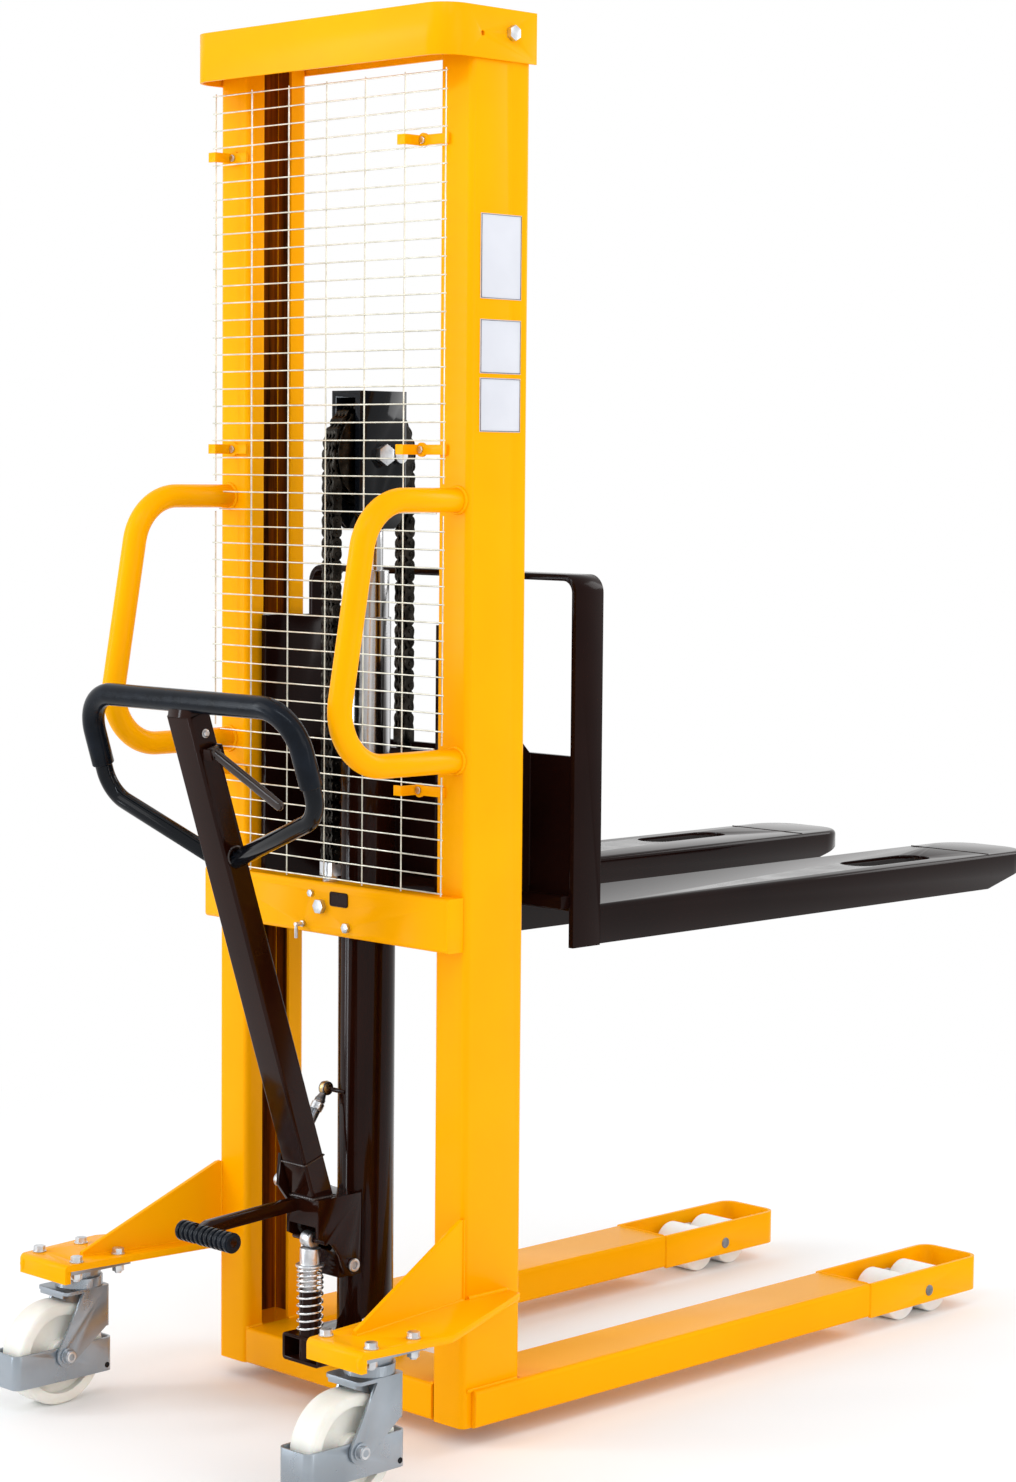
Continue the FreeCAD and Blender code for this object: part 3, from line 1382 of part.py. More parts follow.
CHANNEL_IN = COLUMN_IN + S.column_wall
CHANNEL_OUT = S.mast_half - S.column_wall
CHANNEL_MID = (CHANNEL_IN + CHANNEL_OUT) / 2
MAST_ROLLER_IN = CHANNEL_MID - S.mast_roller_wide / 2
MAST_ROLLER_OUT = CHANNEL_MID + S.mast_roller_wide / 2
MAST_ROLLER_RADIUS = COLUMN_HALF - S.column_wall - 1


def mast_roller(name, side, height):
    at = (0, height)
    span = hull(side, MAST_ROLLER_IN, MAST_ROLLER_OUT)
    disc = rod(f"{name}_disc", "X", at, span, MAST_ROLLER_RADIUS)
    bore = rod(f"{name}_bore", "X", at, span, S.roller_axle_radius + S.run_gap)
    return cut(name, disc, bore)


def backrest():
    """Flat bar bent to an arch, which stands on the fork heels."""
    half = S.backrest_half
    inner = half - S.backrest_thick
    foot = S.fork_top - S.fork_high - 2
    along = (S.backrest_rear, S.backrest_rear + S.backrest_wide)
    outer = box("backrest_outer", (-half, half), along, (foot, S.backrest_top))
    top = number(S.backrest_top) - 1
    outer = rounded("backrest_outer_bends", outer, S.backrest_bend, Y_WAY, lambda middle: middle.z > top)
    room = box(
        "backrest_inner", (-inner, inner), (along[0] - 1, along[1] + 1),
        (foot - 1, S.backrest_top - S.backrest_thick),
    )
    inner_top = top - number(S.backrest_thick)
    room = rounded(
        "backrest_inner_bends", room, S.backrest_bend - S.backrest_thick, Y_WAY,
        lambda middle: middle.z > inner_top,
    )
    grooves = []
    for name, side in BOTH:
        grooves.append(box(
            f"backrest_groove_{name}", hull(side, inner - 1, half + 1),
            (along[1] - S.fork_groove, along[1] + 1),
            (S.fork_top + S.fork_groove, S.fork_top + S.fork_groove * 2),
        ))
    return cut("backrest", outer, room, *grooves)


def fork(name, side):
    """Inverted channel with a rounded, tapered tip and an oblong slot over the load rollers."""
    outer_x = S.backrest_half
    inner_x = S.backrest_half - S.fork_wide
    rear = S.front_plate_at
    low = S.fork_top - S.fork_high
    wall = S.fork_wall
    solid = box(f"{name}_outer", hull(side, inner_x, outer_x), (rear, S.fork_tip), (low, S.fork_top))
    tip = number(S.fork_tip) - 1
    solid = rounded(
        f"{name}_tip_round", solid, S.fork_tip_round, Z_WAY, lambda middle: middle.y > tip,
    )
    top = number(S.fork_top) - 0.5
    doc.recompute()
    brim = doc.addObject("Part::Fillet", f"{name}_brim")
    brim.Base = solid
    size = number(S.fork_round)
    brim.Edges = [
        (i, size, size) for i, edge in enumerate(solid.Shape.Edges, start=1)
        if edge.BoundBox.ZMin > top and edge.BoundBox.YMax > number(rear) + 1
    ]
    wedge = plate(
        f"{name}_taper", "YZ",
        [
            (S.fork_tip - S.fork_taper, low - 1), (S.fork_tip - S.fork_taper, low),
            (S.fork_tip + 1, S.fork_top - S.fork_nose), (S.fork_tip + 1, low - 1),
        ],
        hull(side, inner_x - 1, outer_x + 1),
    )
    hollow = box(
        f"{name}_inner", hull(side, inner_x + wall, outer_x - wall),
        (rear - 1, S.fork_tip - S.fork_taper * 0.62), (low - 1, S.fork_top - wall - 1),
    )
    hollow_end = number(S.fork_tip - S.fork_taper * 0.62) - 1
    hollow = rounded(
        f"{name}_inner_round", hollow, S.fork_tip_round - wall, Z_WAY,
        lambda middle: middle.y > hollow_end,
    )
    bar = box(
        f"{name}_bar_notch", hull(side, S.backrest_half - S.backrest_thick, outer_x + 1),
        (rear - 1, S.backrest_rear + S.backrest_wide), (low - 1, S.fork_top + 1),
    )
    slot_mid = LEG_MID
    slot_half = S.fork_slot_wide / 2
    straight = S.fork_slot_long / 2 - slot_half
    slot_z = (S.fork_top - wall - 2, S.fork_top + 1)
    slot = box(
        f"{name}_slot_middle", hull(side, slot_mid - slot_half, slot_mid + slot_half),
        (S.fork_slot_centre - straight, S.fork_slot_centre + straight), slot_z,
    )
    ends = []
    for index, way in enumerate((-1, 1)):
        ends.append(rod(
            f"{name}_slot_end_{index}", "Z", (slot_mid * side, S.fork_slot_centre + straight * way),
            slot_z, slot_half,
        ))
    weld_line = rear + S.front_plate_thick + S.fork_groove
    groove = box(
        f"{name}_groove", hull(side, inner_x - 1, outer_x + 1), (weld_line, weld_line + S.fork_groove),
        (S.fork_top - S.fork_groove, S.fork_top + 1),
    )
    return cut(name, brim, wedge, hollow, bar, groove, slot, *ends)


def pump_base():
    """Rectangular tube on the base beam that carries the cylinder, with the pump barrel let in."""
    half = S.pump_base_half
    wall = S.pump_base_wall
    along = (-S.pump_base_rear, S.pump_base_front)
    outer = box("pump_base_outer", (-half, half), along, (BASE_TOP, PUMP_BASE_TOP))
    outer = rounded("pump_base_rounds", outer, S.leg_round, Y_WAY)
    inner = box(
        "pump_base_inner", (wall - half, half - wall), (along[0], along[1] - wall),
        (BASE_TOP + wall, PUMP_BASE_TOP - wall),
    )
    tube = cut("pump_base_tube", outer, inner)
    at = (0, -S.pump_back)
    barrel = rod("pump_barrel", "Z", at, (BASE_TOP + wall, S.barrel_top), S.barrel_radius)
    bore = rod("pump_bore", "Z", at, (BASE_TOP + wall, S.barrel_top), S.plunger_radius + S.run_gap)
    return cut("pump_base", fuse("pump_base_body", tube, barrel), bore)


def pump_plunger():
    at = (0, -S.pump_back)
    stem = rod("plunger_stem", "Z", at, (S.plunger_bottom, S.plunger_top), S.plunger_radius)
    flange = rod(
        "plunger_flange", "Z", at, (S.cap_flange_at, S.cap_flange_at + S.plunger_flange_thick),
        S.plunger_flange_radius,
    )
    head = rod("plunger_head", "Z", at, (S.cap_flange_at, S.plunger_top), S.plunger_cap_radius)
    return fuse("pump_plunger", stem, flange, head)


def biarc(start, leave, end, arrive):
    """Two arcs from start to end with the given directions."""
    chord = end - start
    ways = leave + arrive
    turn = 2 * (1 - leave.dot(arrive))
    reach = (-chord.dot(ways) + math.sqrt(chord.dot(ways) ** 2 + turn * chord.dot(chord))) / turn
    joint = (start + leave * reach + end - arrive * reach) / 2
    return [arc_from(start, leave, joint), arc_from(end, -arrive, joint, back=True)]


def arc_from(start, way, end, back=False):
    chord = end - start
    along = V(chord).normalize()
    side = way - along * way.dot(along)
    half = way.getAngle(along)
    middle = start + chord / 2 + side.normalize() * (chord.Length / 2 * math.tan(half / 2))
    return Part.Arc(end, middle, start) if back else Part.Arc(start, middle, end)


def pump_spring():
    """Return spring: one wire wound round the plunger, its ends square to the base and the flange."""
    radius = number(S.spring_radius)
    wire = number(S.spring_wire)
    turns = int(number(S.spring_turns))
    foot = number(PUMP_BASE_TOP) + number(S.clear_gap)
    head = number(S.cap_flange_at) - number(S.clear_gap)
    middle = V(0, -number(S.pump_back), 0)
    rise = wire * 2.2
    pitch = (head - foot - 2 * rise) / turns

    def on_coil(quarter):
        angle = quarter * math.pi / 2
        climb = pitch / (2 * math.pi)
        point = middle + V(radius * math.cos(angle), radius * math.sin(angle), foot + rise + climb * angle)
        way = V(-radius * math.sin(angle), radius * math.cos(angle), climb).normalize()
        return point, way

    last_quarter = turns * 4
    first, first_way = on_coil(0)
    last, last_way = on_coil(last_quarter)
    lead = V(0, -radius * 0.9, 0)
    low_end = first + lead + V(0, 0, -rise)
    high_end = last - lead + V(0, 0, rise)
    up = V(0, 0, 1)
    low_bend = low_end + up * wire
    high_bend = high_end - up * wire
    curves = [Part.LineSegment(low_end, low_bend)]
    curves += biarc(low_bend, up, first, first_way)
    for quarter in range(last_quarter):
        start, leave = on_coil(quarter)
        end, arrive = on_coil(quarter + 1)
        curves += biarc(start, leave, end, arrive)
    curves += biarc(last, last_way, high_bend, up)
    curves.append(Part.LineSegment(high_bend, high_end))
    path = Part.Wire([curve.toShape() for curve in curves])
    ring = Part.Wire(Part.Circle(low_end, up, wire / 2).toShape())
    shape = path.makePipeShell([ring], True, False)
    print("pump_spring least gap to itself", round(least_gap(path, wire), 2))
    return formed("pump_spring", shape)


def least_gap(path, wire):
    """Smallest clear distance between stretches of the wire more than half a turn apart."""
    points = path.discretize(600)
    skip = int(600 * 0.5 / (number(S.spring_turns) + 1))
    gaps = []
    for index, point in enumerate(points):
        for other in points[index + skip:]:
            gaps.append(point.distanceToPoint(other))
    return min(gaps) - wire


PUMP_ROLLER_UP = S.plunger_top + S.clear_gap + S.pump_roller_radius


def pump_roller():
    at = (-S.pump_back, PUMP_ROLLER_UP)
    half = S.pump_roller_half
    disc = rod("pump_roller_disc", "X", at, (-half, half), S.pump_roller_radius)
    bore = rod("pump_roller_bore", "X", at, (-half, half), 4 + S.run_gap)
    return cut("pump_roller", disc, bore)


def pivot_pin():
    """Rivet through the side plates, with a hollow at both ends."""
    at = (-S.pivot_back, S.pivot_height)
    half = S.tiller_plate_half + S.clear_gap
    bar = rod("pivot_bar", "X", at, (-half, half), S.pivot_radius)
    pieces = [bar]
    hollows = []
    for name, side in BOTH:
        pieces.append(rod(f"pivot_head_{name}", "X", at, hull(side, half, half + 5), S.pivot_radius + 1.5))
        hollows.append(rod(f"pivot_hollow_{name}", "X", at, hull(side, half, half + 5), S.pivot_radius - 2.5))
    return cut("pivot_pin", fuse("pivot_rivet", *pieces), *hollows)


def tiller_bracket():
    """Bracket on the pivot pin: side plates, cap, rear plate, roller pin, pedal arm and strut stud."""
    outer = S.tiller_plate_half
    inner = outer - S.tiller_plate
    rear = -S.tiller_bracket_rear
    top = S.tiller_bracket_top
    front = -S.pivot_back + 16
    low = S.pivot_height - 17
    arch = [
        (rear, top), (front, top), (front, S.pivot_height), (front - 5, low + 4), (front - 16, low),
        (front - 30, low + 5), (front - 40, S.pivot_height + 16), (front - 54, S.pivot_height + 34),
        (rear, S.pivot_height + 48),
    ]
    ear = [
        (rear, top - 10), (rear - 20, top + 16), (rear - 16, top + 62),
        (rear + 4, top + 58), (rear + 16, top), (rear + 16, top - 10),
    ]
    pieces = []
    for name, side in BOTH:
        pieces.append(plate(f"tiller_side_{name}", "YZ", arch, hull(side, inner, outer)))
    pieces.append(plate("tiller_ear", "YZ", ear, (-outer, -inner)))
    pieces.append(box(
        "tiller_cap", (-outer, outer), (rear, -S.cylinder_radius - S.clear_gap * 2),
        (top - S.tiller_plate, top),
    ))
    pieces.append(box(
        "tiller_back", (-outer, outer), (rear, rear + S.tiller_plate), (top - 40, top),
    ))
    pieces.append(rod("tiller_roller_pin", "X", (-S.pump_back, PUMP_ROLLER_UP), (-outer, outer), 4))
    arm_x = (-S.pedal_arm_across - S.pedal_arm_half, S.pedal_arm_half - S.pedal_arm_across)
    back = -S.pedal_back
    pad_up = S.pedal_height
    arm = [
        (rear, top - 4), (rear, top - 22), (back + 24, pad_up - 1), (back + 12, pad_up - 9),
        (back - 7, pad_up - 9), (back - 7, pad_up + 8), (back + 14, pad_up + 17),
    ]
    pieces.append(plate("pedal_arm", "YZ", arm, arm_x))
    pieces.append(rod(
        "pedal_rod", "X", (back, pad_up), (-S.pedal_half, S.pedal_half), S.pedal_rod_radius,
    ))
    knob = strut_point(1)
    pieces.append(rod(
        "tiller_stud_post", "X", (knob[1], knob[2]), (-S.strut_across, -outer), 3,
    ))
    pieces.append(ball("tiller_stud_ball", knob, S.strut_ball_radius))
    body = fuse("tiller_bracket_body", *pieces)
    pivot = rod(
        "tiller_pivot_hole", "X", (-S.pivot_back, S.pivot_height), (-outer, outer),
        S.pivot_radius + S.run_gap,
    )
    return cut("tiller_bracket", body, pivot)


def strut_point(end):
    """Centre of the gas strut's upper (0) or lower (1) ball."""
    if end == 0:
        return (-S.strut_across, -S.strut_top_back, S.strut_top_height)
    return (-S.strut_across, -S.strut_low_back, S.strut_low_height)


def strut_placement():
    """Local +Z runs from the upper ball to the lower ball."""
    top = V(*[number(size) for size in strut_point(0)])
    low = V(*[number(size) for size in strut_point(1)])
    return FreeCAD.Placement(top, FreeCAD.Rotation(V(0, 0, 1), low - top)), (low - top).Length


def strut_eye(at, bore):
    """Ball socket: a short sleeve across the strut."""
    half = number(S.strut_eye_half)
    start = V(-half, 0, at)
    sleeve = Part.makeCylinder(number(S.strut_eye_radius), 2 * half, start, V(1, 0, 0))
    return sleeve.cut(Part.makeCylinder(bore, 2 * half, start, V(1, 0, 0)))


def strut_body():
    place_at, _ = strut_placement()
    eye = number(S.strut_eye_radius)
    end = number(S.strut_body_end)
    barrel = Part.makeCylinder(number(S.strut_body_radius), end - eye - 8, V(0, 0, eye + 8))
    neck = Part.makeCone(4.5, number(S.strut_body_radius), 12, V(0, 0, eye - 2))
    bore = Part.makeCylinder(number(S.strut_rod_radius) + 0.1, end, V(0, 0, eye + 10))
    socket = number(S.strut_ball_radius) + number(S.clear_gap)
    room = Part.makeCylinder(socket, 2 * eye, V(-eye, 0, 0), V(1, 0, 0))
    shape = barrel.fuse([neck, strut_eye(0, socket)]).cut(room).cut(bore).removeSplitter()
    return formed("strut_body", shape, place_at)


def strut_rod():
    place_at, length = strut_placement()
    eye = number(S.strut_eye_radius)
    start = number(S.strut_rod_start)
    bar = Part.makeCylinder(number(S.strut_rod_radius), length - eye + 2 - start, V(0, 0, start))
    socket = number(S.strut_ball_radius) + number(S.strut_play)
    room = Part.makeCylinder(socket, 2 * eye, V(-eye, 0, length), V(1, 0, 0))
    shape = bar.fuse([strut_eye(length, socket)]).cut(room).removeSplitter()
    return formed("strut_rod", shape, place_at)


def on_tiller(obj):
    """Sets a piece made upright, with its foot at the origin, on the leaning tiller."""
    lean = FreeCAD.Rotation(V(1, 0, 0), number(S.tiller_lean))
    return place(obj, (0, -S.tiller_foot_back, S.tiller_bracket_top), lean)


def tiller_tube():
    """Leaning rectangular tube with the release lever's ears and pin on its right face."""
    half = S.tiller_half
    deep = S.tiller_deep_half
    wall = S.tiller_wall
    top = S.loop_bar - S.grip_radius - 1
    foot = -deep
    outer = box("tiller_outer", (-half, half), (-deep, deep), (foot, top))
    outer = rounded("tiller_rounds", outer, wall + 1, Z_WAY)
    inner = box("tiller_inner", (wall - half, half - wall), (wall - deep, deep - wall), (foot, top - wall))
    hub = S.lever_hub_radius
    ear_out = S.lever_ear_in + S.lever_ear_thick
    ears = []
    for index, way in enumerate((-1, 1)):
        span = hull(way, S.lever_ear_in, ear_out)
        ears.append(box(
            f"lever_ear_{index}", (half, half + hub * 2 + S.lever_hub_gap), span,
            (S.lever_pivot - hub, S.lever_pivot + hub),
        ))
    pin_at = (half + hub + S.lever_hub_gap, S.lever_pivot)
    pin = rod("lever_pin", "Y", pin_at, (-ear_out, ear_out), S.lever_pin_radius)
    leaning = on_tiller(fuse("tiller_leaning", cut("tiller_hollow", outer, inner), pin, *ears))
    floor = box(
        "tiller_foot_cut", (-half - 1, half + 1),
        (-S.tiller_foot_back - deep * 3, deep * 3 - S.tiller_foot_back),
        (S.tiller_bracket_top - deep * 3, S.tiller_bracket_top),
    )
    return cut("tiller_tube", leaning, floor)


def loop_points():
    """Right half of the handle loop, then its mirror image, as (across, along the tiller)."""
    start = (number(S.tiller_half) * 0.5, number(S.loop_join) - number(S.tiller_half) * 0.17)
    low = (number(S.loop_low_half), number(S.loop_low))
    top = (number(S.loop_top_half), number(S.loop_bar))
    right = [start, low, top]
    return right + [(-across, along) for across, along in reversed(right)]


def loop_path():
    points = [V(across, 0, along) for across, along in loop_points()]
    low = number(S.loop_low_bend)
    top = number(S.loop_top_bend)
    return bent_path(points, [low, top, top, low])


def handle_loop():
    """Bent handle tube, its ends cut to the sides of the tiller."""
    half = number(S.tiller_half)
    deep = number(S.tiller_deep_half)
    shape = pipe(loop_path(), number(S.loop_tube_radius))
    tall = 4 * half
    room = Part.makeBox(2 * half, 2 * deep, tall, V(-half, -deep, number(S.loop_join) - tall / 2))
    loop = formed("handle_loop", shape.cut(room))
    return on_tiller(loop)


def handle_grip():
    """Rubber sleeve over the top bar and both upper bends."""
    points = [V(across, 0, along) for across, along in loop_points()[1:-1]]
    share = (number(S.grip_end) - points[0].z) / (points[1].z - points[0].z)
    points[0] = points[0] + (points[1] - points[0]) * share
    points[-1] = points[-1] + (points[-2] - points[-1]) * share
    path = bent_path(points, [number(S.loop_top_bend)] * 2)
    shape = pipe(path, number(S.grip_radius)).cut(pipe(path, number(S.loop_tube_radius) + 0.15))
    return on_tiller(formed("handle_grip", shape))


def release_lever():
    """Finger lever inside the loop, on a pin at the side of the tiller."""
    hub = number(S.lever_hub_radius)
    pivot = V(number(S.tiller_half) + hub + number(S.lever_hub_gap), 0, number(S.lever_pivot))
    tip = V(number(S.lever_tip_across), 0, number(S.lever_tip))
    radius = number(S.lever_radius)
    half = number(S.lever_ear_in) - 0.5
    boss = Part.makeCylinder(hub, 2 * half, pivot - V(0, half, 0), V(0, 1, 0))
    bar = Part.makeCylinder(radius, (tip - pivot).Length, pivot, tip - pivot)
    end = Part.makeSphere(radius, tip)
    bore = number(S.lever_pin_radius) + number(S.run_gap)
    hole = Part.makeCylinder(bore, 2 * half, pivot - V(0, half, 0), V(0, 1, 0))
    shape = boss.fuse([bar, end]).cut(hole).removeSplitter()
    return on_tiller(formed("release_lever", shape))


def pedal_grip():
    """Ribbed rubber sleeve on the pedal rod, slotted where the arm comes in."""
    at = (-S.pedal_back, S.pedal_height)
    half = S.pedal_half
    core = rod("pedal_core", "X", at, (-half, half), S.pedal_grip_radius - S.pedal_groove)
    ribs = int(number(S.pedal_ribs))
    step = half * 2 / ribs
    pieces = [core]
    for index in range(ribs):
        start = step * index - half
        pieces.append(rod(
            f"pedal_rib_{index}", "X", at, (start + step * 0.2, start + step * 0.8), S.pedal_grip_radius,
        ))
    bore = rod("pedal_bore", "X", at, (-half, half), S.pedal_rod_radius + 0.15)
    gap = S.pedal_arm_half + S.clear_gap
    slot = box(
        "pedal_slot", (-S.pedal_arm_across - gap, gap - S.pedal_arm_across),
        (-S.pedal_back - 7.5, S.pedal_grip_radius - S.pedal_back + 1),
        (S.pedal_height - S.pedal_grip_radius - 1, S.pedal_height + S.pedal_grip_radius + 1),
    )
    return cut("pedal_grip", fuse("pedal_sleeve", *pieces), bore, slot)


def build():
    for name, side in BOTH:
        keep_part(f"mast_channel_{name}", mast_channel(f"mast_channel_{name}", side))
        keep_part(f"leg_{name}", leg(f"leg_{name}", side))
        keep_part(f"bogie_{name}", bogie(f"bogie_{name}", side))
        for where, way in (("rear", -1), ("front", 1)):
            label = f"load_roller_{name}_{where}"
            keep_part(label, load_roller(label, side, way))
        keep_part(f"caster_bracket_{name}", caster_bracket(f"caster_bracket_{name}", side))
        keep_part(f"caster_fork_{name}", caster_fork(f"caster_fork_{name}", side))
        keep_part(f"caster_wheel_{name}", caster_wheel(f"caster_wheel_{name}", side))
        keep_part(f"grab_handle_{name}", grab_handle(f"grab_handle_{name}", side))
        for level, height in (("low", S.mast_roller_low), ("high", S.mast_roller_high)):
            label = f"mast_roller_{name}_{level}"
            keep_part(label, mast_roller(label, side, height))
        keep_part(f"fork_{name}", fork(f"fork_{name}", side))
    singles = {
        "top_beam": top_beam, "mid_beam": mid_beam, "base_beam": base_beam, "beam_bolts": beam_bolts,
        "bogie_pins": bogie_pins, "caster_plates": caster_plates, "caster_bolts": caster_bolts,
        "mesh_guard": mesh_guard, "mesh_clips": mesh_clips, "mesh_screws": mesh_screws,
        "blank_plates": blank_plates, "lift_cylinder": lift_cylinder,
        "lifting_ram": lifting_ram, "crosshead": crosshead, "pulley_axle": pulley_axle,
        "chain_pulley": chain_pulley, "chain_wrap": chain_wrap, "carriage_frame": carriage_frame,
        "backrest": backrest, "pump_base": pump_base, "pump_plunger": pump_plunger,
        "pump_spring": pump_spring, "pump_roller": pump_roller, "pivot_pin": pivot_pin,
        "tiller_bracket": tiller_bracket, "tiller_tube": tiller_tube, "handle_loop": handle_loop,
        "handle_grip": handle_grip, "release_lever": release_lever, "pedal_grip": pedal_grip,
        "strut_body": strut_body, "strut_rod": strut_rod,
    }
    for name, make in singles.items():
        keep_part(name, make())
    keep_part("chain_rear", chain_strand("chain_rear", -1, CHAIN_REAR_FOOT))
    keep_part("chain_front", chain_strand("chain_front", 1, CHAIN_FRONT_FOOT))
    rear_seat = (-S.pulley_pitch_radius, MIDBEAM_TOP, S.midbeam_wall)
    keep_part("chain_anchor_rear", chain_anchor("chain_anchor_rear", *rear_seat))
    front_seat = (S.pulley_pitch_radius, S.crossbar_top, S.crossbar_high)
    keep_part("chain_anchor_front", chain_anchor("chain_anchor_front", *front_seat))


def check_and_export():
    doc.recompute()
    for obj in doc.Objects:
        if "Invalid" in obj.State or "Error" in obj.State:
            raise RuntimeError(f"{obj.Name} did not compute: {obj.State}")
    for name, obj in parts.items():
        shape = obj.Shape
        if shape.isNull() or not shape.isValid() or shape.Volume <= 0:
            bad = [link.Name for link in obj.OutList if hasattr(link, "Shape") and not link.Shape.isValid()]
            raise RuntimeError(f"{name} has no valid solid {bad}")
    os.makedirs("parts", exist_ok=True)
    for name, obj in parts.items():
        obj.Shape.exportStep(f"parts/{name}.step")
    print(len(parts), "sub-parts written")


build()
check_and_export()
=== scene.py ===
import math

import bmesh
import bpy
from mathutils import Matrix, Vector


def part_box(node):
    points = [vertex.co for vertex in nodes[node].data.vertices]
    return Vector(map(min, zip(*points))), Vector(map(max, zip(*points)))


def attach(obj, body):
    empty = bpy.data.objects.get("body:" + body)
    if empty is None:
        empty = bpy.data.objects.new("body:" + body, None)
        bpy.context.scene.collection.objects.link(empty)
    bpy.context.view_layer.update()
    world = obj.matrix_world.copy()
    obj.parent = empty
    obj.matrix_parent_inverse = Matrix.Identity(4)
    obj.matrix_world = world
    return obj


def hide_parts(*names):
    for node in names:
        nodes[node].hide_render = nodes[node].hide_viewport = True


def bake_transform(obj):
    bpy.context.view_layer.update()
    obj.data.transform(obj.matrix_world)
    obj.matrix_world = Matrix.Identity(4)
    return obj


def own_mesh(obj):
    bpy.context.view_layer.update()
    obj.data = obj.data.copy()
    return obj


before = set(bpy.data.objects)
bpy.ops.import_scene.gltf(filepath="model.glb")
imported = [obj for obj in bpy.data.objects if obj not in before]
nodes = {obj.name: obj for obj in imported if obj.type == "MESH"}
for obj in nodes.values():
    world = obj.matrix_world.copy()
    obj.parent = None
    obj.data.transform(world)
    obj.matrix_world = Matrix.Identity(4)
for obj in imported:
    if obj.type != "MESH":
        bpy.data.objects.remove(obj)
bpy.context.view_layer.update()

# Hand pallet stacker on the floor, in metres, with its forks along +Y
MAST_Y = -0.413
UP = Vector((0, 0, 1))
ACROSS = Vector((1, 0, 0))
SIDES = (("left", -1), ("right", 1))


def at(x, y, z):
    """A point given in millimetres from the middle of the mast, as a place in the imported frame."""
    return Vector((x / 1000, y / 1000 + MAST_Y, z / 1000))


# Materials
def shader_of(mat):
    return mat.node_tree.nodes["Principled BSDF"]


def material(name, base, rough, metallic=0.0, **more):
    """A plain surface. more sets further sockets of its shader by name."""
    mat = bpy.data.materials.new(name)
    mat.use_nodes = True
    shader = shader_of(mat)
    shader.inputs["Base Color"].default_value = (*base, 1)
    shader.inputs["Roughness"].default_value = rough
    shader.inputs["Metallic"].default_value = metallic
    for socket, value in more.items():
        shader.inputs[socket.replace("_", " ")].default_value = value
    mat.diffuse_color = (*base, 1)
    return mat


def add(mat, kind, **values):
    node = mat.node_tree.nodes.new(kind)
    for name, value in values.items():
        node.inputs[name].default_value = value
    return node


def join(mat, output, target):
    mat.node_tree.links.new(output, target)


def noise(mat, scale, detail, rough=0.5, stretch=(1, 1, 1)):
    """Noise in the object's own metres."""
    where = add(mat, "ShaderNodeTexCoord")
    mapping = add(mat, "ShaderNodeMapping", Scale=stretch)
    texture = add(mat, "ShaderNodeTexNoise", Scale=scale, Detail=detail, Roughness=rough)
    join(mat, where.outputs["Object"], mapping.inputs["Vector"])
    join(mat, mapping.outputs["Vector"], texture.inputs["Vector"])
    return texture.outputs["Fac"]


def ramp(mat, factor, stops):
    """Colour by factor between two stops, each (place, colour)."""
    node = add(mat, "ShaderNodeValToRGB")
    for element, (place, colour) in zip(node.color_ramp.elements, stops):
        element.position = place
        element.color = (*colour, 1)
    join(mat, factor, node.inputs["Fac"])
    return node.outputs["Color"]


def tint(mat, factor, low, high, start=0.35, end=0.65):
    """Base colour drifting between low and high."""
    join(mat, ramp(mat, factor, [(start, low), (end, high)]), shader_of(mat).inputs["Base Color"])


def sheen(mat, factor, low, high):
    """Roughness drifting between low and high."""
    grey = ramp(mat, factor, [(0.3, (low,) * 3), (0.7, (high,) * 3)])
    join(mat, grey, shader_of(mat).inputs["Roughness"])


def bump(mat, height, strength, distance):
    """Relief, distance in metres."""
    node = add(mat, "ShaderNodeBump", Strength=strength, Distance=distance)
    join(mat, height, node.inputs["Height"])
    join(mat, node.outputs["Normal"], shader_of(mat).inputs["Normal"])


def paint(name, low, high, rough, peel, gloss, drift=0.035):
    """Powder coat: slight drift of colour and gloss, and orange peel."""
    mat = material(name, high, rough, Specular_IOR_Level=gloss)
    tint(mat, noise(mat, 5, 4), low, high)
    sheen(mat, noise(mat, 14, 2), rough - drift, rough + drift)
    bump(mat, noise(mat, 420, 2), peel, 0.0004)
    return mat


YELLOW = paint("yellow_paint", (0.975, 0.395, 0.0), (1.0, 0.425, 0.0), 0.26, 0.006, 0.05, 0.01)
DARK = paint("dark_paint", (0.0075, 0.0022, 0.0016), (0.0125, 0.0042, 0.0031), 0.15, 0.03, 0.06)
FORK = paint("fork_paint", (0.0055, 0.0012, 0.0008), (0.0085, 0.0022, 0.0015), 0.10, 0.006, 0.15)
GLOSS = paint("dark_gloss", (0.011, 0.0022, 0.0009), (0.0175, 0.0042, 0.0019), 0.11, 0.02, 0.13)
SEAM = paint("dark_seam", (0.016, 0.009, 0.007), (0.03, 0.019, 0.016), 0.1, 0.02, 0.5)
BLACK = paint("black_gloss", (0.0025, 0.0032, 0.0046), (0.0045, 0.0058, 0.0082), 0.08, 0.01, 0.15)


def metal(name, low, high, rough, grain):
    """Bare or plated steel and brass, with a fine grain."""
    mat = material(name, high, rough, 1.0)
    tint(mat, noise(mat, 60, 5), low, high)
    sheen(mat, noise(mat, 160, 4), rough - 0.08, rough + 0.12)
    bump(mat, noise(mat, grain, 3), 0.15, 0.0003)
    return mat


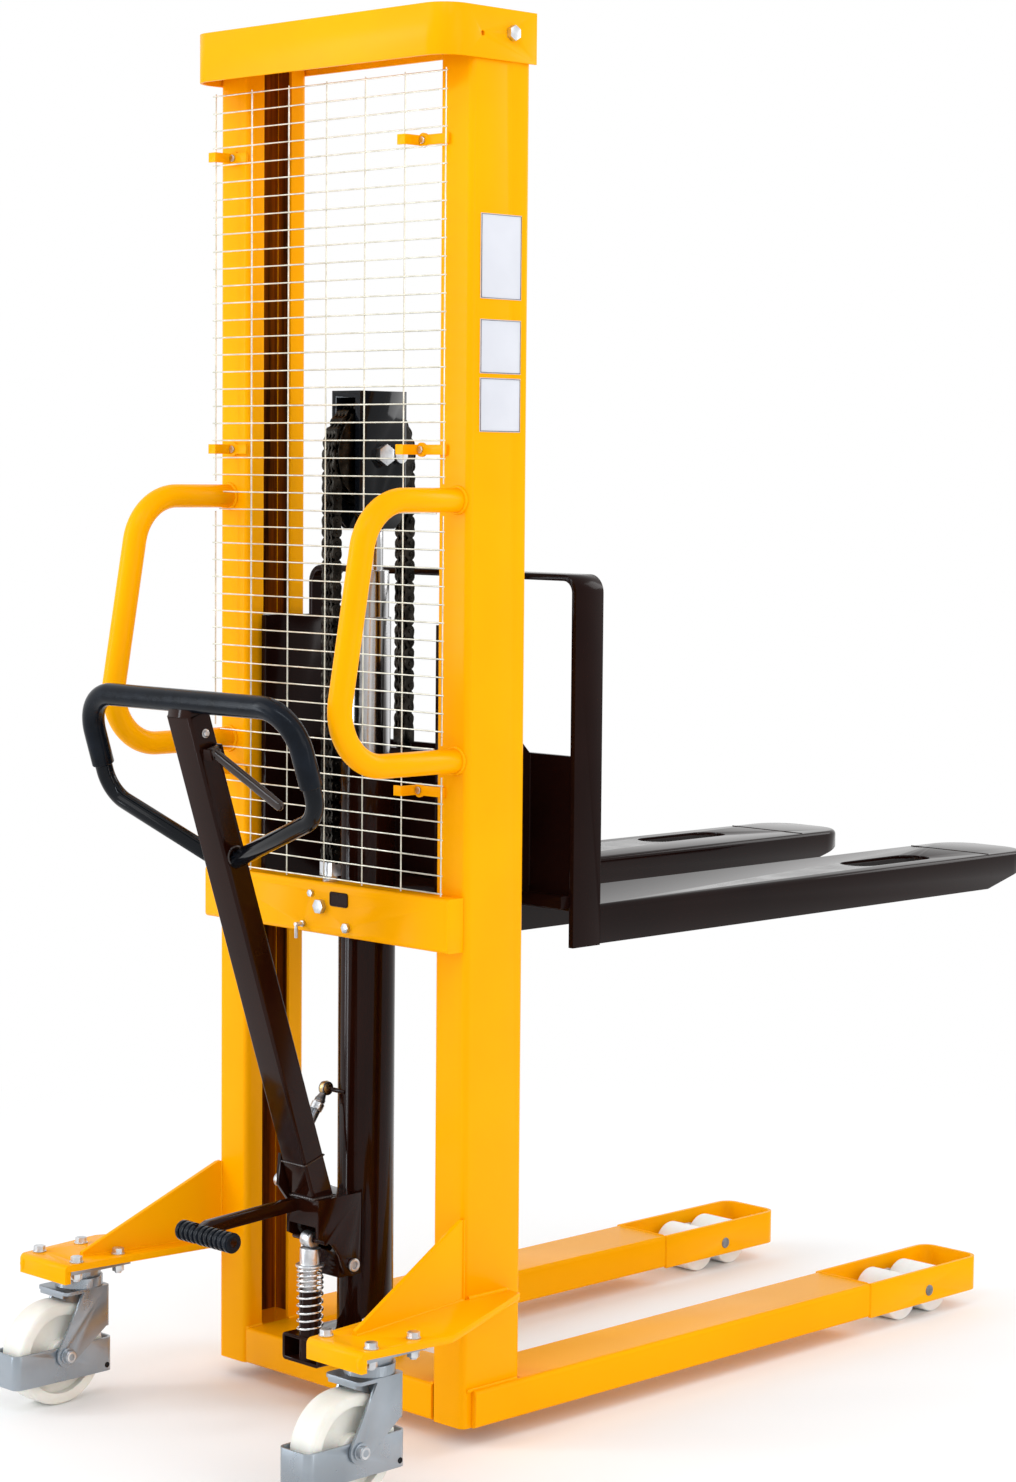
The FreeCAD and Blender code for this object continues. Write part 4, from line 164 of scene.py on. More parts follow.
ZINC = metal("zinc", (0.50, 0.51, 0.53), (0.74, 0.75, 0.76), 0.34, 700)
CHAIN = metal("chain_steel", (0.006, 0.005, 0.004), (0.035, 0.031, 0.026), 0.3, 500)
BRASS = metal("brass", (0.42, 0.27, 0.10), (0.62, 0.44, 0.2), 0.3, 500)
WIRE = metal("galvanised_wire", (0.62, 0.60, 0.50), (0.80, 0.78, 0.68), 0.34, 900)
PIN = metal("pin_steel", (0.16, 0.16, 0.165), (0.30, 0.30, 0.31), 0.3, 500)
BRIGHT = metal("bright_steel", (0.62, 0.63, 0.64), (0.8, 0.8, 0.8), 0.2, 900)


def streaked_reflection_ram():
    """Ground steel with dark brown and bright vertical streaks painted into its colour, standing in for its
    reflections.
    """
    mat = material("polished_ram", (0.4, 0.39, 0.38), 0.16, 1.0)
    # Painted reflection: dark and bright vertical streaks in the base colour, not a film on the steel.
    tint(mat, noise(mat, 26, 3, 0.5, (1, 1, 0.02)), (0.018, 0.012, 0.008), (0.62, 0.62, 0.63), 0.44, 0.58)
    sheen(mat, noise(mat, 60, 3, 0.5, (1, 1, 0.04)), 0.10, 0.24)
    bump(mat, noise(mat, 500, 2), 0.04, 0.0003)
    return mat


def grey_plating():
    """Dull grey zinc of the caster pressings."""
    mat = material("caster_grey", (0.34, 0.38, 0.42), 0.34, 0.8)
    tint(mat, noise(mat, 9, 4), (0.29, 0.325, 0.36), (0.38, 0.42, 0.465))
    sheen(mat, noise(mat, 30, 3), 0.26, 0.36)
    bump(mat, noise(mat, 500, 3), 0.03, 0.0003)
    return mat


def nylon_mould(name, low, high):
    """Moulded nylon, slightly translucent."""
    mat = material(name, high, 0.42, Subsurface_Weight=0.15, Subsurface_Scale=0.004)
    tint(mat, noise(mat, 14, 4), low, high)
    sheen(mat, noise(mat, 70, 3), 0.34, 0.55)
    bump(mat, noise(mat, 260, 4), 0.12, 0.0005)
    return mat


def rubber_skin():
    """Smooth black rubber of the grips."""
    mat = material("rubber", (0.006, 0.008, 0.011), 0.22, Specular_IOR_Level=0.11)
    tint(mat, noise(mat, 30, 4), (0.003, 0.0045, 0.0075), (0.006, 0.009, 0.0145))
    sheen(mat, noise(mat, 60, 3), 0.16, 0.26)
    bump(mat, noise(mat, 900, 2), 0.07, 0.0004)
    return mat


def blank_label():
    """Bare laminated plate, faintly uneven."""
    mat = material("white_plate", (0.66, 0.67, 0.72), 0.4, Specular_IOR_Level=0.2)
    tint(mat, noise(mat, 12, 3), (0.635, 0.645, 0.695), (0.675, 0.685, 0.735))
    sheen(mat, noise(mat, 90, 3), 0.32, 0.5)
    bump(mat, noise(mat, 300, 2), 0.05, 0.0003)
    return mat


def grease_and_shade_film():
    """Old grease on the roller tracks, drawn into long vertical streaks; its dark sheet also stands in as
    painted shade inside the channels.
    """
    mat = material("track_grease_shade", (0.05, 0.014, 0.002), 0.4, Specular_IOR_Level=0.12)
    # Painted shade: the dark of this sheet stands in for the shade inside the channel, with streaks of
    # grease over it.
    tint(mat, noise(mat, 60, 5, 0.6, (1, 1, 0.03)), (0.055, 0.015, 0.002), (0.60, 0.15, 0.003), 0.36, 0.66)
    sheen(mat, noise(mat, 90, 4, 0.5, (1, 1, 0.05)), 0.28, 0.55)
    bump(mat, noise(mat, 120, 4, 0.5, (1, 1, 0.05)), 0.2, 0.0005)
    return mat


POLISHED = streaked_reflection_ram()
GREASE_AND_SHADE = grease_and_shade_film()
GREY = grey_plating()
NYLON = nylon_mould("nylon", (0.75, 0.73, 0.66), (0.88, 0.865, 0.80))
ROLLER = nylon_mould("roller_nylon", (0.84, 0.83, 0.80), (0.93, 0.925, 0.90))
RUBBER = rubber_skin()
PLATE = blank_label()
STRUT = metal("strut_grey", (0.16, 0.17, 0.185), (0.26, 0.27, 0.29), 0.34, 400)

# Finish of the carried-over solids
FINISH = {
    YELLOW: (
        "mast_channel_left mast_channel_right top_beam mid_beam base_beam leg_left leg_right "
        "caster_bracket_left caster_bracket_right grab_handle_left grab_handle_right mesh_clips"
    ),
    DARK: "carriage_frame backrest",
    GLOSS: "lift_cylinder tiller_bracket tiller_tube pump_base",
    FORK: "fork_left fork_right",
    PIN: "bogie_pins",
    BLACK: "handle_loop crosshead",
    SEAM: "release_lever",
    POLISHED: "lifting_ram",
    ZINC: (
        "mesh_screws beam_bolts caster_bolts pulley_axle pivot_pin pump_plunger pump_roller "
        "chain_anchor_rear bogie_left bogie_right strut_rod "
        "mast_roller_left_low mast_roller_left_high mast_roller_right_low mast_roller_right_high"
    ),
    GREY: "caster_plates caster_fork_left caster_fork_right",
    CHAIN: "chain_anchor_front chain_pulley",
    NYLON: "caster_wheel_left caster_wheel_right",
    ROLLER: "load_roller_left_rear load_roller_left_front load_roller_right_rear load_roller_right_front",
    RUBBER: "handle_grip pedal_grip",
    STRUT: "strut_body",
    PLATE: "blank_plates",
}
# Rounding of their edges in millimetres
PLAIN_EDGE = 0.8
SOFT_EDGE = {
    "handle_grip": 2.0, "pedal_grip": 0.5, "blank_plates": 0.3, "mesh_screws": 0.6, "backrest": 1.2,
    "caster_bolts": 0.7, "beam_bolts": 0.8, "release_lever": 0.8, "pump_roller": 1.0, "bogie_pins": 1.0,
    "caster_bracket_left": 2.6, "caster_bracket_right": 2.6, "tiller_bracket": 1.5, "pump_plunger": 1.4,
    "caster_fork_left": 1.0, "caster_fork_right": 1.0,
}
WELD_WITHIN = 0.00001
FLAT_WITHIN = math.radians(0.3)
EDGE_FROM = math.radians(32)


def soften(node, name):
    """Small rounded edges on a solid, as folded sheet and machined steel have them."""
    for polygon in node.data.polygons:
        polygon.use_smooth = True
    weld = node.modifiers.new("weld", "WELD")
    weld.merge_threshold = WELD_WITHIN
    flat = node.modifiers.new("flat", "DECIMATE")
    flat.decimate_type = "DISSOLVE"
    flat.angle_limit = FLAT_WITHIN
    edge = node.modifiers.new("edge", "BEVEL")
    edge.limit_method = "ANGLE"
    edge.angle_limit = EDGE_FROM
    edge.width = SOFT_EDGE.get(name, PLAIN_EDGE) / 1000
    edge.segments = 2
    edge.harden_normals = True


for mat, names in FINISH.items():
    for name in names.split():
        node = nodes[name]
        node.data.materials.clear()
        node.data.materials.append(mat)
        soften(node, name)


# Mesh helpers
def piece(name, build, mat, body, sharp=40):
    """A new object from a function that fills a bmesh, riding on a body."""
    bm = bmesh.new()
    build(bm)
    bmesh.ops.recalc_face_normals(bm, faces=bm.faces)
    mesh = bpy.data.meshes.new(name)
    bm.to_mesh(mesh)
    bm.free()
    for polygon in mesh.polygons:
        polygon.use_smooth = True
    mesh.set_sharp_from_angle(angle=math.radians(sharp))
    mesh.materials.append(mat)
    obj = bpy.data.objects.new(name, mesh)
    bpy.context.scene.collection.objects.link(obj)
    if body:
        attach(obj, body)
    return obj


def skin(bm, rings, closed=False):
    """Faces from ring to ring, and an end face at either end unless the rings close on themselves."""
    pairs = list(zip(rings, rings[1:]))
    if closed:
        pairs.append((rings[-1], rings[0]))
    for low, high in pairs:
        for index in range(len(low)):
            after = (index + 1) % len(low)
            bm.faces.new((low[index], low[after], high[after], high[index]))
    if not closed:
        bm.faces.new(rings[0])
        bm.faces.new(rings[-1])


def sweep(bm, points, radius, sides=8, closed=False):
    """A round bar along points. radius is a number or one number for each point."""
    count = len(points)
    radii = radius if isinstance(radius, list) else [radius] * count
    normal = None
    rings = []
    for index, point in enumerate(points):
        before = points[index - 1] if index or closed else point
        after = points[(index + 1) % count] if index + 1 < count or closed else point
        way = (after - before).normalized()
        if normal is None:
            normal = way.orthogonal().normalized()
        normal = (normal - way * normal.dot(way)).normalized()
        other = way.cross(normal)
        ring = []
        for side in range(sides):
            angle = 2 * math.pi * side / sides
            ring.append(bm.verts.new(
                point + (normal * math.cos(angle) + other * math.sin(angle)) * radii[index] / 1000
            ))
        rings.append(ring)
    skin(bm, rings, closed)


def lathe(bm, centre, axis, profile, steps=24):
    """A turned form. profile is (radius, distance along the axis) in millimetres."""
    axis = Vector(axis).normalized()
    first = axis.orthogonal().normalized()
    second = axis.cross(first)
    rings = []
    for radius, along in profile:
        middle = centre + axis * along / 1000
        if radius < 0.01:
            rings.append([bm.verts.new(middle)])
            continue
        rings.append([
            bm.verts.new(middle + (first * math.cos(turn) + second * math.sin(turn)) * radius / 1000)
            for turn in (2 * math.pi * step / steps for step in range(steps))
        ])
    for low, high in zip(rings, rings[1:]):
        for step in range(steps):
            after = (step + 1) % steps
            corners = [low[turn % len(low)] for turn in (step, after)]
            corners += [high[turn % len(high)] for turn in (after, step)]
            corners = list(dict.fromkeys(corners))
            if len(corners) > 2:
                bm.faces.new(corners)
    for ring in (rings[0], rings[-1]):
        if len(ring) > 1:
            bm.faces.new(ring)


def block(bm, x, y, z):
    """A box between two places along each axis."""
    corners = [bm.verts.new(at(a, b, c)) for c in z for b in y for a in x]
    for face in ((0, 1, 3, 2), (4, 6, 7, 5), (0, 4, 5, 1), (2, 3, 7, 6), (0, 2, 6, 4), (1, 5, 7, 3)):
        bm.faces.new([corners[index] for index in face])


def spaced(corners, step, closed):
    """Points about step millimetres apart along straight runs."""
    ends = corners[1:] + (corners[:1] if closed else [])
    points = []
    for start, end in zip(corners, ends):
        count = max(1, round((end - start).length * 1000 / step))
        points += [start.lerp(end, index / count) for index in range(count)]
    if not closed:
        points.append(corners[-1])
    return points


def ring_points(centre, axis, radius, count):
    """Points round a circle."""
    axis = Vector(axis)
    first = axis.orthogonal().normalized()
    second = axis.cross(first)
    return [
        centre + (first * math.cos(turn) + second * math.sin(turn)) * radius / 1000
        for turn in (2 * math.pi * index / count for index in range(count))
    ]


BEAD_STEP = 1.6
BEAD_SIDES = 7


def bead(bm, corners, radius, closed=False):
    """A weld bead with the ripples of its passes."""
    points = spaced(corners, BEAD_STEP, closed)
    radii = []
    for index in range(len(points)):
        ripple = 0.11 * math.cos(index * 1.9) + 0.05 * math.sin(index * 0.37)
        radii.append(radius * (1 + ripple))
    sweep(bm, points, radii, BEAD_SIDES, closed)


# Wire mesh behind the mast
MESH_HALF = 244.5
MESH_LOW = 786.5
MESH_PITCH = 25
MESH_ROWS = 46
MESH_COLUMNS = 7
MESH_BACK = -83.5
WIRE_RADIUS = 1.1
GRAB_ACROSS = 245
GRAB_HEIGHTS = (970, 1330)
GRAB_ROOM = 22
WIRE_END = 4
WIRE_BITE = 0.4


def wire_mesh(bm):
    top = MESH_LOW + MESH_PITCH * (MESH_ROWS - 1)
    for column in range(MESH_COLUMNS):
        across = -MESH_HALF + 2 * MESH_HALF * column / (MESH_COLUMNS - 1)
        cuts = [MESH_LOW - WIRE_END]
        if abs(across) > GRAB_ACROSS - GRAB_ROOM:
            for height in GRAB_HEIGHTS:
                cuts += [height - GRAB_ROOM, height + GRAB_ROOM]
        cuts.append(top + WIRE_END)
        for low, high in zip(cuts[::2], cuts[1::2]):
            sweep(bm, [at(across, MESH_BACK, low), at(across, MESH_BACK, high)], WIRE_RADIUS)
    for row in range(MESH_ROWS):
        height = MESH_LOW + MESH_PITCH * row
        reach = MESH_HALF + WIRE_END
        for grab in GRAB_HEIGHTS:
            if abs(height - grab) < GRAB_ROOM:
                reach = GRAB_ACROSS - math.sqrt(GRAB_ROOM ** 2 - (height - grab) ** 2)
        back = MESH_BACK - 2 * WIRE_RADIUS + WIRE_BITE
        sweep(bm, [at(-reach, back, height), at(reach, back, height)], WIRE_RADIUS)


mesh_wires = piece("mesh_wires", wire_mesh, WIRE, "frame")
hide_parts("mesh_guard")

# Leaf chain
CHAIN_RADIUS = 71
CHAIN_PITCH = 15.875
LINK_HALF = CHAIN_PITCH / 2
PULLEY_UP = 1392
PLATE_THICK = 3.1
PLATE_STEP = 3.6
PLATE_END = 8.8
PLATE_WAIST = 7.2
END_STEPS = 4
END_TURN = 26
CHAIN_PIN = ((0, -14), (2.4, -14), (3.2, -13), (3.2, 13), (2.4, 14), (0, 14))
CHAIN_RUNS = (("rear", -CHAIN_RADIUS, 808, "frame"), ("front", CHAIN_RADIUS, 993, "carriage"))


def link_outline():
    """Figure of eight plate, as (along, sideways) points."""
    points = []
    for way in (1, -1):
        for step in range(-END_STEPS, END_STEPS + 1):
            turn = math.radians(step * END_TURN)
            points.append((way * (LINK_HALF + PLATE_END * math.cos(turn)), way * PLATE_END * math.sin(turn)))
        points.append((0, way * PLATE_WAIST))
    return points


def chain_link(bm, middle, along, index):
    """The plates of one link, laced four and three, with the pin at its start."""
    sideways = ACROSS.cross(along)
    columns = (-3, -1, 1, 3) if index % 2 else (-2, 0, 2)
    outline = link_outline()
    for column in columns:
        rims = []
        for edge in (-PLATE_THICK / 2, PLATE_THICK / 2):
            face = middle + ACROSS * (column * PLATE_STEP + edge) / 1000
            rims.append([
                bm.verts.new(face + along * forth / 1000 + sideways * aside / 1000)
                for forth, aside in outline
            ])
        skin(bm, rims)
    lathe(bm, middle - along * LINK_HALF / 1000, ACROSS, CHAIN_PIN, 10)


def straight_chain(along_y, low):
    """A taut run from its anchor up to the middle of the pulley."""
    def build(bm):
        count = round((PULLEY_UP - low) / CHAIN_PITCH)
        for index in range(count):
            height = PULLEY_UP - (index + 0.5) * (PULLEY_UP - low) / count
            chain_link(bm, at(0, along_y, height), UP, index + 1)
    return build


def wrapped_chain(bm):
    """The half turn over the pulley."""
    count = round(math.pi * CHAIN_RADIUS / CHAIN_PITCH)
    for index in range(count):
        turn = math.pi * (index + 0.5) / count
        middle = at(0, -CHAIN_RADIUS * math.cos(turn), PULLEY_UP + CHAIN_RADIUS * math.sin(turn))
        chain_link(bm, middle, Vector((0, math.sin(turn), math.cos(turn))), index)


for name, along_y, low, body in CHAIN_RUNS:
    links = piece(f"chain_links_{name}", straight_chain(along_y, low), CHAIN, None)
    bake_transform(links)
    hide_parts(f"chain_{name}")
links = piece("chain_links_wrap", wrapped_chain, CHAIN, "crosshead")
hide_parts("chain_wrap")

# Pump return spring
PUMP_Y = -107
SPRING_RADIUS = 18
SPRING_WIRE = 1.8
SPRING_TURNS = 10
SPRING_STEPS = 28
CLOSE_FROM = 0.56
CLOSE_RISE = 0.66
spring_low, spring_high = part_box("pump_spring")


def spring_wire(bm):
    """Coil with its upper turns closer together."""
    low = spring_low[2] * 1000 + SPRING_WIRE
    high = spring_high[2] * 1000 - SPRING_WIRE
    steps = SPRING_TURNS * SPRING_STEPS
    points = []
    for index in range(steps + 1):
        share = index / steps
        turn = 2 * math.pi * SPRING_TURNS * share
        rise = share * CLOSE_RISE / CLOSE_FROM
        if share > CLOSE_FROM:
            rise = CLOSE_RISE + (share - CLOSE_FROM) * (1 - CLOSE_RISE) / (1 - CLOSE_FROM)
        points.append(at(
            SPRING_RADIUS * math.cos(turn),
            PUMP_Y + SPRING_RADIUS * math.sin(turn),
            low + (high - low) * rise,
        ))
    sweep(bm, points, SPRING_WIRE, 10)


spring = piece("spring_coils", spring_wire, BRIGHT, "frame")
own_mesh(spring)
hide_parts("pump_spring")

# Weld beads
MAST_HALF = 268
COLUMN_IN = 203
COLUMN_HALF = 57
BASE_TOP = 82
LEG_IN = 166
LEG_OUT = 278
LEG_BEAD_LOW = 32
LEG_BEND = 7
LEG_EASE = 2
LEG_REACH = 835
BRACKET_TOP = 214
GUSSET_TOP = 328
GUSSET_REAR = 290
GUSSET_FOOT = 304
GUSSET_THICK = 7
BRACKET_REAR = 345
BRACKET_OUT = 376
BRACKET_FRONT = 28
CORNER_IN = 5
BRACKET_CORNER = ((0, -26), (4, -25), (6.6, -21), (7.4, -15), (6.6, -9), (4, -5), (0, -4))
COLUMN_BEND = 8
LIP_BEAD = (26, 55)
GRAB_BEAD = 17.5


def frame_welds(bm):
    for _, side in SIDES:
        outer = MAST_HALF * side
        flat = COLUMN_HALF - COLUMN_BEND
        bead(bm, [at(outer, -flat, BRACKET_TOP), at(outer, BRACKET_FRONT, BRACKET_TOP)], 4.4)
        bead(bm, [at(outer, -flat, BASE_TOP), at(outer, flat, BASE_TOP)], 3.4)
        for inset in (0, GUSSET_THICK):
            top = (MAST_HALF - inset) * side
            foot = (GUSSET_FOOT - inset) * side
            bead(bm, [at(foot, -GUSSET_REAR, BRACKET_TOP), at(top, -COLUMN_HALF, BRACKET_TOP)], 2.4)
            bead(bm, [at(top, -COLUMN_HALF, BRACKET_TOP), at(top, -COLUMN_HALF, GUSSET_TOP)], 2.2)
        inner = COLUMN_IN * side
        for way in (-1, 1):
            bead(bm, [at(inner, way * deep, BASE_TOP) for deep in LIP_BEAD], 2.6)
        arch = [
            (LEG_IN, LEG_BEAD_LOW), (LEG_IN, BASE_TOP - LEG_BEND),
            (LEG_IN + LEG_EASE, BASE_TOP - LEG_EASE), (LEG_IN + LEG_BEND, BASE_TOP),
            (LEG_OUT - LEG_BEND, BASE_TOP), (LEG_OUT - LEG_EASE, BASE_TOP - LEG_EASE),
            (LEG_OUT, BASE_TOP - LEG_BEND), (LEG_OUT, LEG_BEAD_LOW),
        ]
        bead(bm, [at(across * side, LEG_REACH, height) for across, height in arch], 1.4)
        for height in GRAB_HEIGHTS:
            centre = at(GRAB_ACROSS * side, -COLUMN_HALF - 1, height)
            bead(bm, ring_points(centre, (0, 1, 0), GRAB_BEAD, 36), 3.0, True)
        corner = at((BRACKET_OUT - CORNER_IN) * side, CORNER_IN - BRACKET_REAR, BRACKET_TOP)
        lathe(bm, corner, UP, BRACKET_CORNER)


piece("frame_welds", frame_welds, YELLOW, "frame", 60)

# Tiller tube
TILLER_FOOT = (0, -103, 326)
TILLER_LEAN = math.radians(18)
TILLER_HALF = 25
TILLER_DEEP = 19
TILLER_TOP = 746
TILLER_SEAM = 60
LOOP_JOINT = 534
LOOP_BEAD = 13
SCREW_PLACE = (2, 716)
SCREW_HEAD = ((6.2, 0), (6.2, 1), (5.2, 1.2), (4.8, 3.2), (3.4, 4.2), (2, 4.2), (2, 3.2), (0, 3.2))
TUBE_CORNERS = ((-1, -1), (1, -1), (1, 1), (-1, 1))
SADDLE = (
    (-2, TILLER_HALF, TILLER_DEEP), (0, TILLER_HALF, TILLER_DEEP),
    (5, TILLER_HALF, 16), (13, TILLER_HALF - 1, 12.5),
)
SADDLE_CORNERS = ((-1, -0.8), (-0.85, -1), (0.85, -1), (1, -0.8), (1, 0.8), (0.85, 1), (-0.85, 1), (-1, 0.8))


def on_tiller(across, deep, along):
    """A point by the tiller's own width, depth and length."""
    return at(
        across,
        TILLER_FOOT[1] + deep * math.cos(TILLER_LEAN) - along * math.sin(TILLER_LEAN),
        TILLER_FOOT[2] + deep * math.sin(TILLER_LEAN) + along * math.cos(TILLER_LEAN),
    )


def tiller_welds(bm):
    """Beads at the foot of the tube, round its seam and where the handle loop comes in."""
    foot = []
    seam = []
    for across, deep in TUBE_CORNERS:
        rise = -deep * TILLER_DEEP * math.tan(TILLER_LEAN)
        foot.append(on_tiller(across * TILLER_HALF, deep * TILLER_DEEP, rise))
        seam.append(on_tiller(across * TILLER_HALF, deep * TILLER_DEEP, TILLER_SEAM))
    bead(bm, foot, 2.6, True)
    bead(bm, seam, 1.5, True)
    for _, side in SIDES:
        joint = on_tiller(TILLER_HALF * side, 0, LOOP_JOINT)
        bead(bm, ring_points(joint, ACROSS, LOOP_BEAD, 30), 2.2, True)


piece("tiller_welds", tiller_welds, SEAM, "tiller", 60)


def tiller_screw(bm):
    lathe(bm, on_tiller(TILLER_HALF, *SCREW_PLACE), ACROSS, SCREW_HEAD)


piece("tiller_screw", tiller_screw, ZINC, "tiller", 30)


def tiller_saddle(bm):
    """Upper end of the tube, drawn in to the round of the grip."""
    rings = []
    for along, half, deep in SADDLE:
        up = TILLER_TOP + along
        rings.append([bm.verts.new(on_tiller(a * half, b * deep, up)) for a, b in SADDLE_CORNERS])
    skin(bm, rings)


piece("tiller_saddle", tiller_saddle, GLOSS, "tiller", 40)

# Rubber plug in the slot of the mid beam
PLUG_ACROSS = 38
PLUG_DROP = 22
PLUG_HALF = (19.4, 10.4)
PLUG_ROUND = 4
PLUG_FACE = ((0, -0.2), (0, 1.2), (0.8, 1.8), (2.6, 1.8), (3.2, 1.1))
beam_low, beam_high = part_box("mid_beam")


def plug_outline(inset):
    """Rounded oblong, as (across, up) points."""
    points = []
    for quarter, (way_x, way_z) in enumerate(((1, 1), (-1, 1), (-1, -1), (1, -1))):
        for step in range(5):
            turn = math.radians(90 * quarter + 22.5 * step)
            points.append((
                way_x * (PLUG_HALF[0] - PLUG_ROUND) + (PLUG_ROUND - inset) * math.cos(turn),
                way_z * (PLUG_HALF[1] - PLUG_ROUND) + (PLUG_ROUND - inset) * math.sin(turn),
            ))
    return points


def beam_plug(bm):
    middle = Vector((PLUG_ACROSS / 1000, beam_low[1], beam_high[2] - PLUG_DROP / 1000))
    rings = []
    for inset, proud in PLUG_FACE:
        rings.append([
            bm.verts.new(middle + Vector((x, -proud, z)) / 1000) for x, z in plug_outline(inset)
        ])
    skin(bm, rings)


piece("beam_plug", beam_plug, GLOSS, "frame", 30)

# Welds of the carriage, the forks and the lift cylinder
SIDE_PLATE = (183, 193)
SIDE_PLATE_FRONT = 140
SIDE_PLATE_BEAD = (775, 966)
FORK_TOP = 751
FORK_EDGES = (114, 286)
FORK_BEND = 6
HEEL_BEAD = (115, 276)
HEEL_FRONT = 148
TIP_SEAM = 1120
TIP_SEAM_LOW = 712
CYLINDER_RADIUS = 42


def carriage_welds(bm):
    inner, outer = FORK_EDGES
    for _, side in SIDES:
        for across in SIDE_PLATE:
            bead(bm, [at(across * side, SIDE_PLATE_FRONT, height) for height in SIDE_PLATE_BEAD], 2.6)
        bead(bm, [at(across * side, HEEL_FRONT, FORK_TOP) for across in HEEL_BEAD], 2.6)
        for across in FORK_EDGES:
            bead(bm, [at(across * side, TIP_SEAM, z) for z in (TIP_SEAM_LOW, FORK_TOP - FORK_BEND)], 1.0)
        flat = (inner + FORK_BEND, outer - FORK_BEND)
        bead(bm, [at(across * side, TIP_SEAM, FORK_TOP) for across in flat], 1.0)


piece("carriage_welds", carriage_welds, DARK, "carriage", 60)


def cylinder_welds(bm):
    bead(bm, ring_points(at(0, 0, BASE_TOP), UP, CYLINDER_RADIUS, 90), 3.2, True)


piece("cylinder_weld", cylinder_welds, GLOSS, "frame", 60)

# Grease on the roller tracks inside the columns, a dark sheet that is also painted shade inside the channels
TRACK = (84, 1985)
TRACK_HALF = 50
TRACK_WEB = (261.3, 261.9)
TRACK_FLANGE = (209.3, 261.3)
TRACK_SKIN = (50.4, 50.9)


def track_grease_and_shade(bm):
    for _, side in SIDES:
        web = sorted(across * side for across in TRACK_WEB)
        block(bm, web, (-TRACK_HALF, TRACK_HALF), TRACK)
        flange = sorted(across * side for across in TRACK_FLANGE)
        for way in (1, -1):
            block(bm, flange, sorted(deep * way for deep in TRACK_SKIN), TRACK)


piece("track_grease_and_shade", track_grease_and_shade, GREASE_AND_SHADE, "frame", 30)

# Rims of the bare plates
PLATE_ROWS = ((1424, 1498), (1504, 1578), (1606, 1722))
PLATE_HALF = 39
RIM_INSET = 1.2
RIM_PROUD = 1.05
RIM_RADIUS = 0.8


def plate_rims(bm):
    half = PLATE_HALF - RIM_INSET
    for low, high in PLATE_ROWS:
        foot = low + RIM_INSET
        head = high - RIM_INSET
        places = ((-half, foot), (half, foot), (half, head), (-half, head))
        corners = [at(MAST_HALF + RIM_PROUD, y, z) for y, z in places]
        sweep(bm, corners, RIM_RADIUS, 6, True)


piece("plate_rims", plate_rims, STRUT, "frame", 60)

# Round axle heads of the casters, with a black disc of painted shade where the small hole in the guard band
# is
CASTER_ACROSS = 320
CASTER_AXLE = (-328, 75)
CASTER_LEG_OUT = 36
GUARD_OUT = 31
GUARD_HOLE = (-252, 46)
AXLE_HEAD = ((9.3, 2.6), (9.3, 9.6), (8.4, 10.9), (6.6, 11.4), (5.2, 11.4), (4.6, 10.6), (0, 10.6))
HOLE_SHADE_DISC = ((4.2, -0.2), (4.2, 0.3), (3.4, 0.6), (2.8, 0.3), (0, 0.1))


def axle_head(side):
    def build(bm):
        lathe(bm, at(CASTER_ACROSS * side + CASTER_LEG_OUT, *CASTER_AXLE), ACROSS, AXLE_HEAD, 32)
    return build


# Painted shade: a black disc stands in for the dark inside the small hole in the guard band.
def guard_hole_shade(side):
    def build(bm):
        lathe(bm, at(CASTER_ACROSS * side + GUARD_OUT, *GUARD_HOLE), ACROSS, HOLE_SHADE_DISC, 20)
    return build


for name, side in SIDES:
    piece(f"axle_head_{name}", axle_head(side), ZINC, f"caster_fork_{name}", 30)
    piece(f"guard_hole_shade_{name}", guard_hole_shade(side), BLACK, f"caster_fork_{name}", 30)

# Ball joints and collar of the gas strut
STRUT_TOP = at(-43, -40, 468)
STRUT_FOOT = at(-43, -126, 345)
STRUT_WAY = (STRUT_FOOT - STRUT_TOP).normalized()
BALL_RADIUS = 5.6
BALL_STEPS = 10
BALL_NUT = ((0, 5), (8, 5), (8.6, 6), (8.6, 9), (8, 10), (0, 10))
KNUCKLE = ((0, -6), (6, -6), (9.8, -4), (11.2, 0), (9.8, 4), (6, 6), (0, 6))
COLLAR = ((0, -8), (5.6, -8), (6.4, -7), (8.4, 0), (9.6, 1), (9.6, 11), (8.8, 12), (0, 12))
COLLAR_FROM_TOP = 0.024


def ball_stud(bm):
    ball = []
    for step in range(BALL_STEPS + 1):
        turn = math.pi * step / BALL_STEPS
        ball.append((BALL_RADIUS * math.sin(turn), -BALL_RADIUS * math.cos(turn)))
    lathe(bm, STRUT_FOOT, ACROSS, ball, 20)
    lathe(bm, STRUT_FOOT, ACROSS, BALL_NUT, 6)


def strut_knuckle(bm):
    lathe(bm, STRUT_TOP, ACROSS, KNUCKLE, 28)


def strut_collar(bm):
    lathe(bm, STRUT_TOP + STRUT_WAY * COLLAR_FROM_TOP, STRUT_WAY, COLLAR, 28)


piece("strut_ball", ball_stud, BRASS, "tiller", 35)
piece("strut_knuckle", strut_knuckle, BRASS, "strut_body", 40)
piece("strut_collar", strut_collar, ZINC, "strut_body", 30)

# Camera at the photograph's angle, with its focal length and the middle of its view in pixels
PHOTO_WIDE = 1016
PHOTO_HIGH = 1482
PHOTO_MIDDLE = (561.5, 733.6)
FOCAL = 3211.9
SENSOR = 36
CAMERA_ANGLES = (44.456, 4.63, 0.562)
CAMERA_PLACE = at(3452, -3117, 1368)


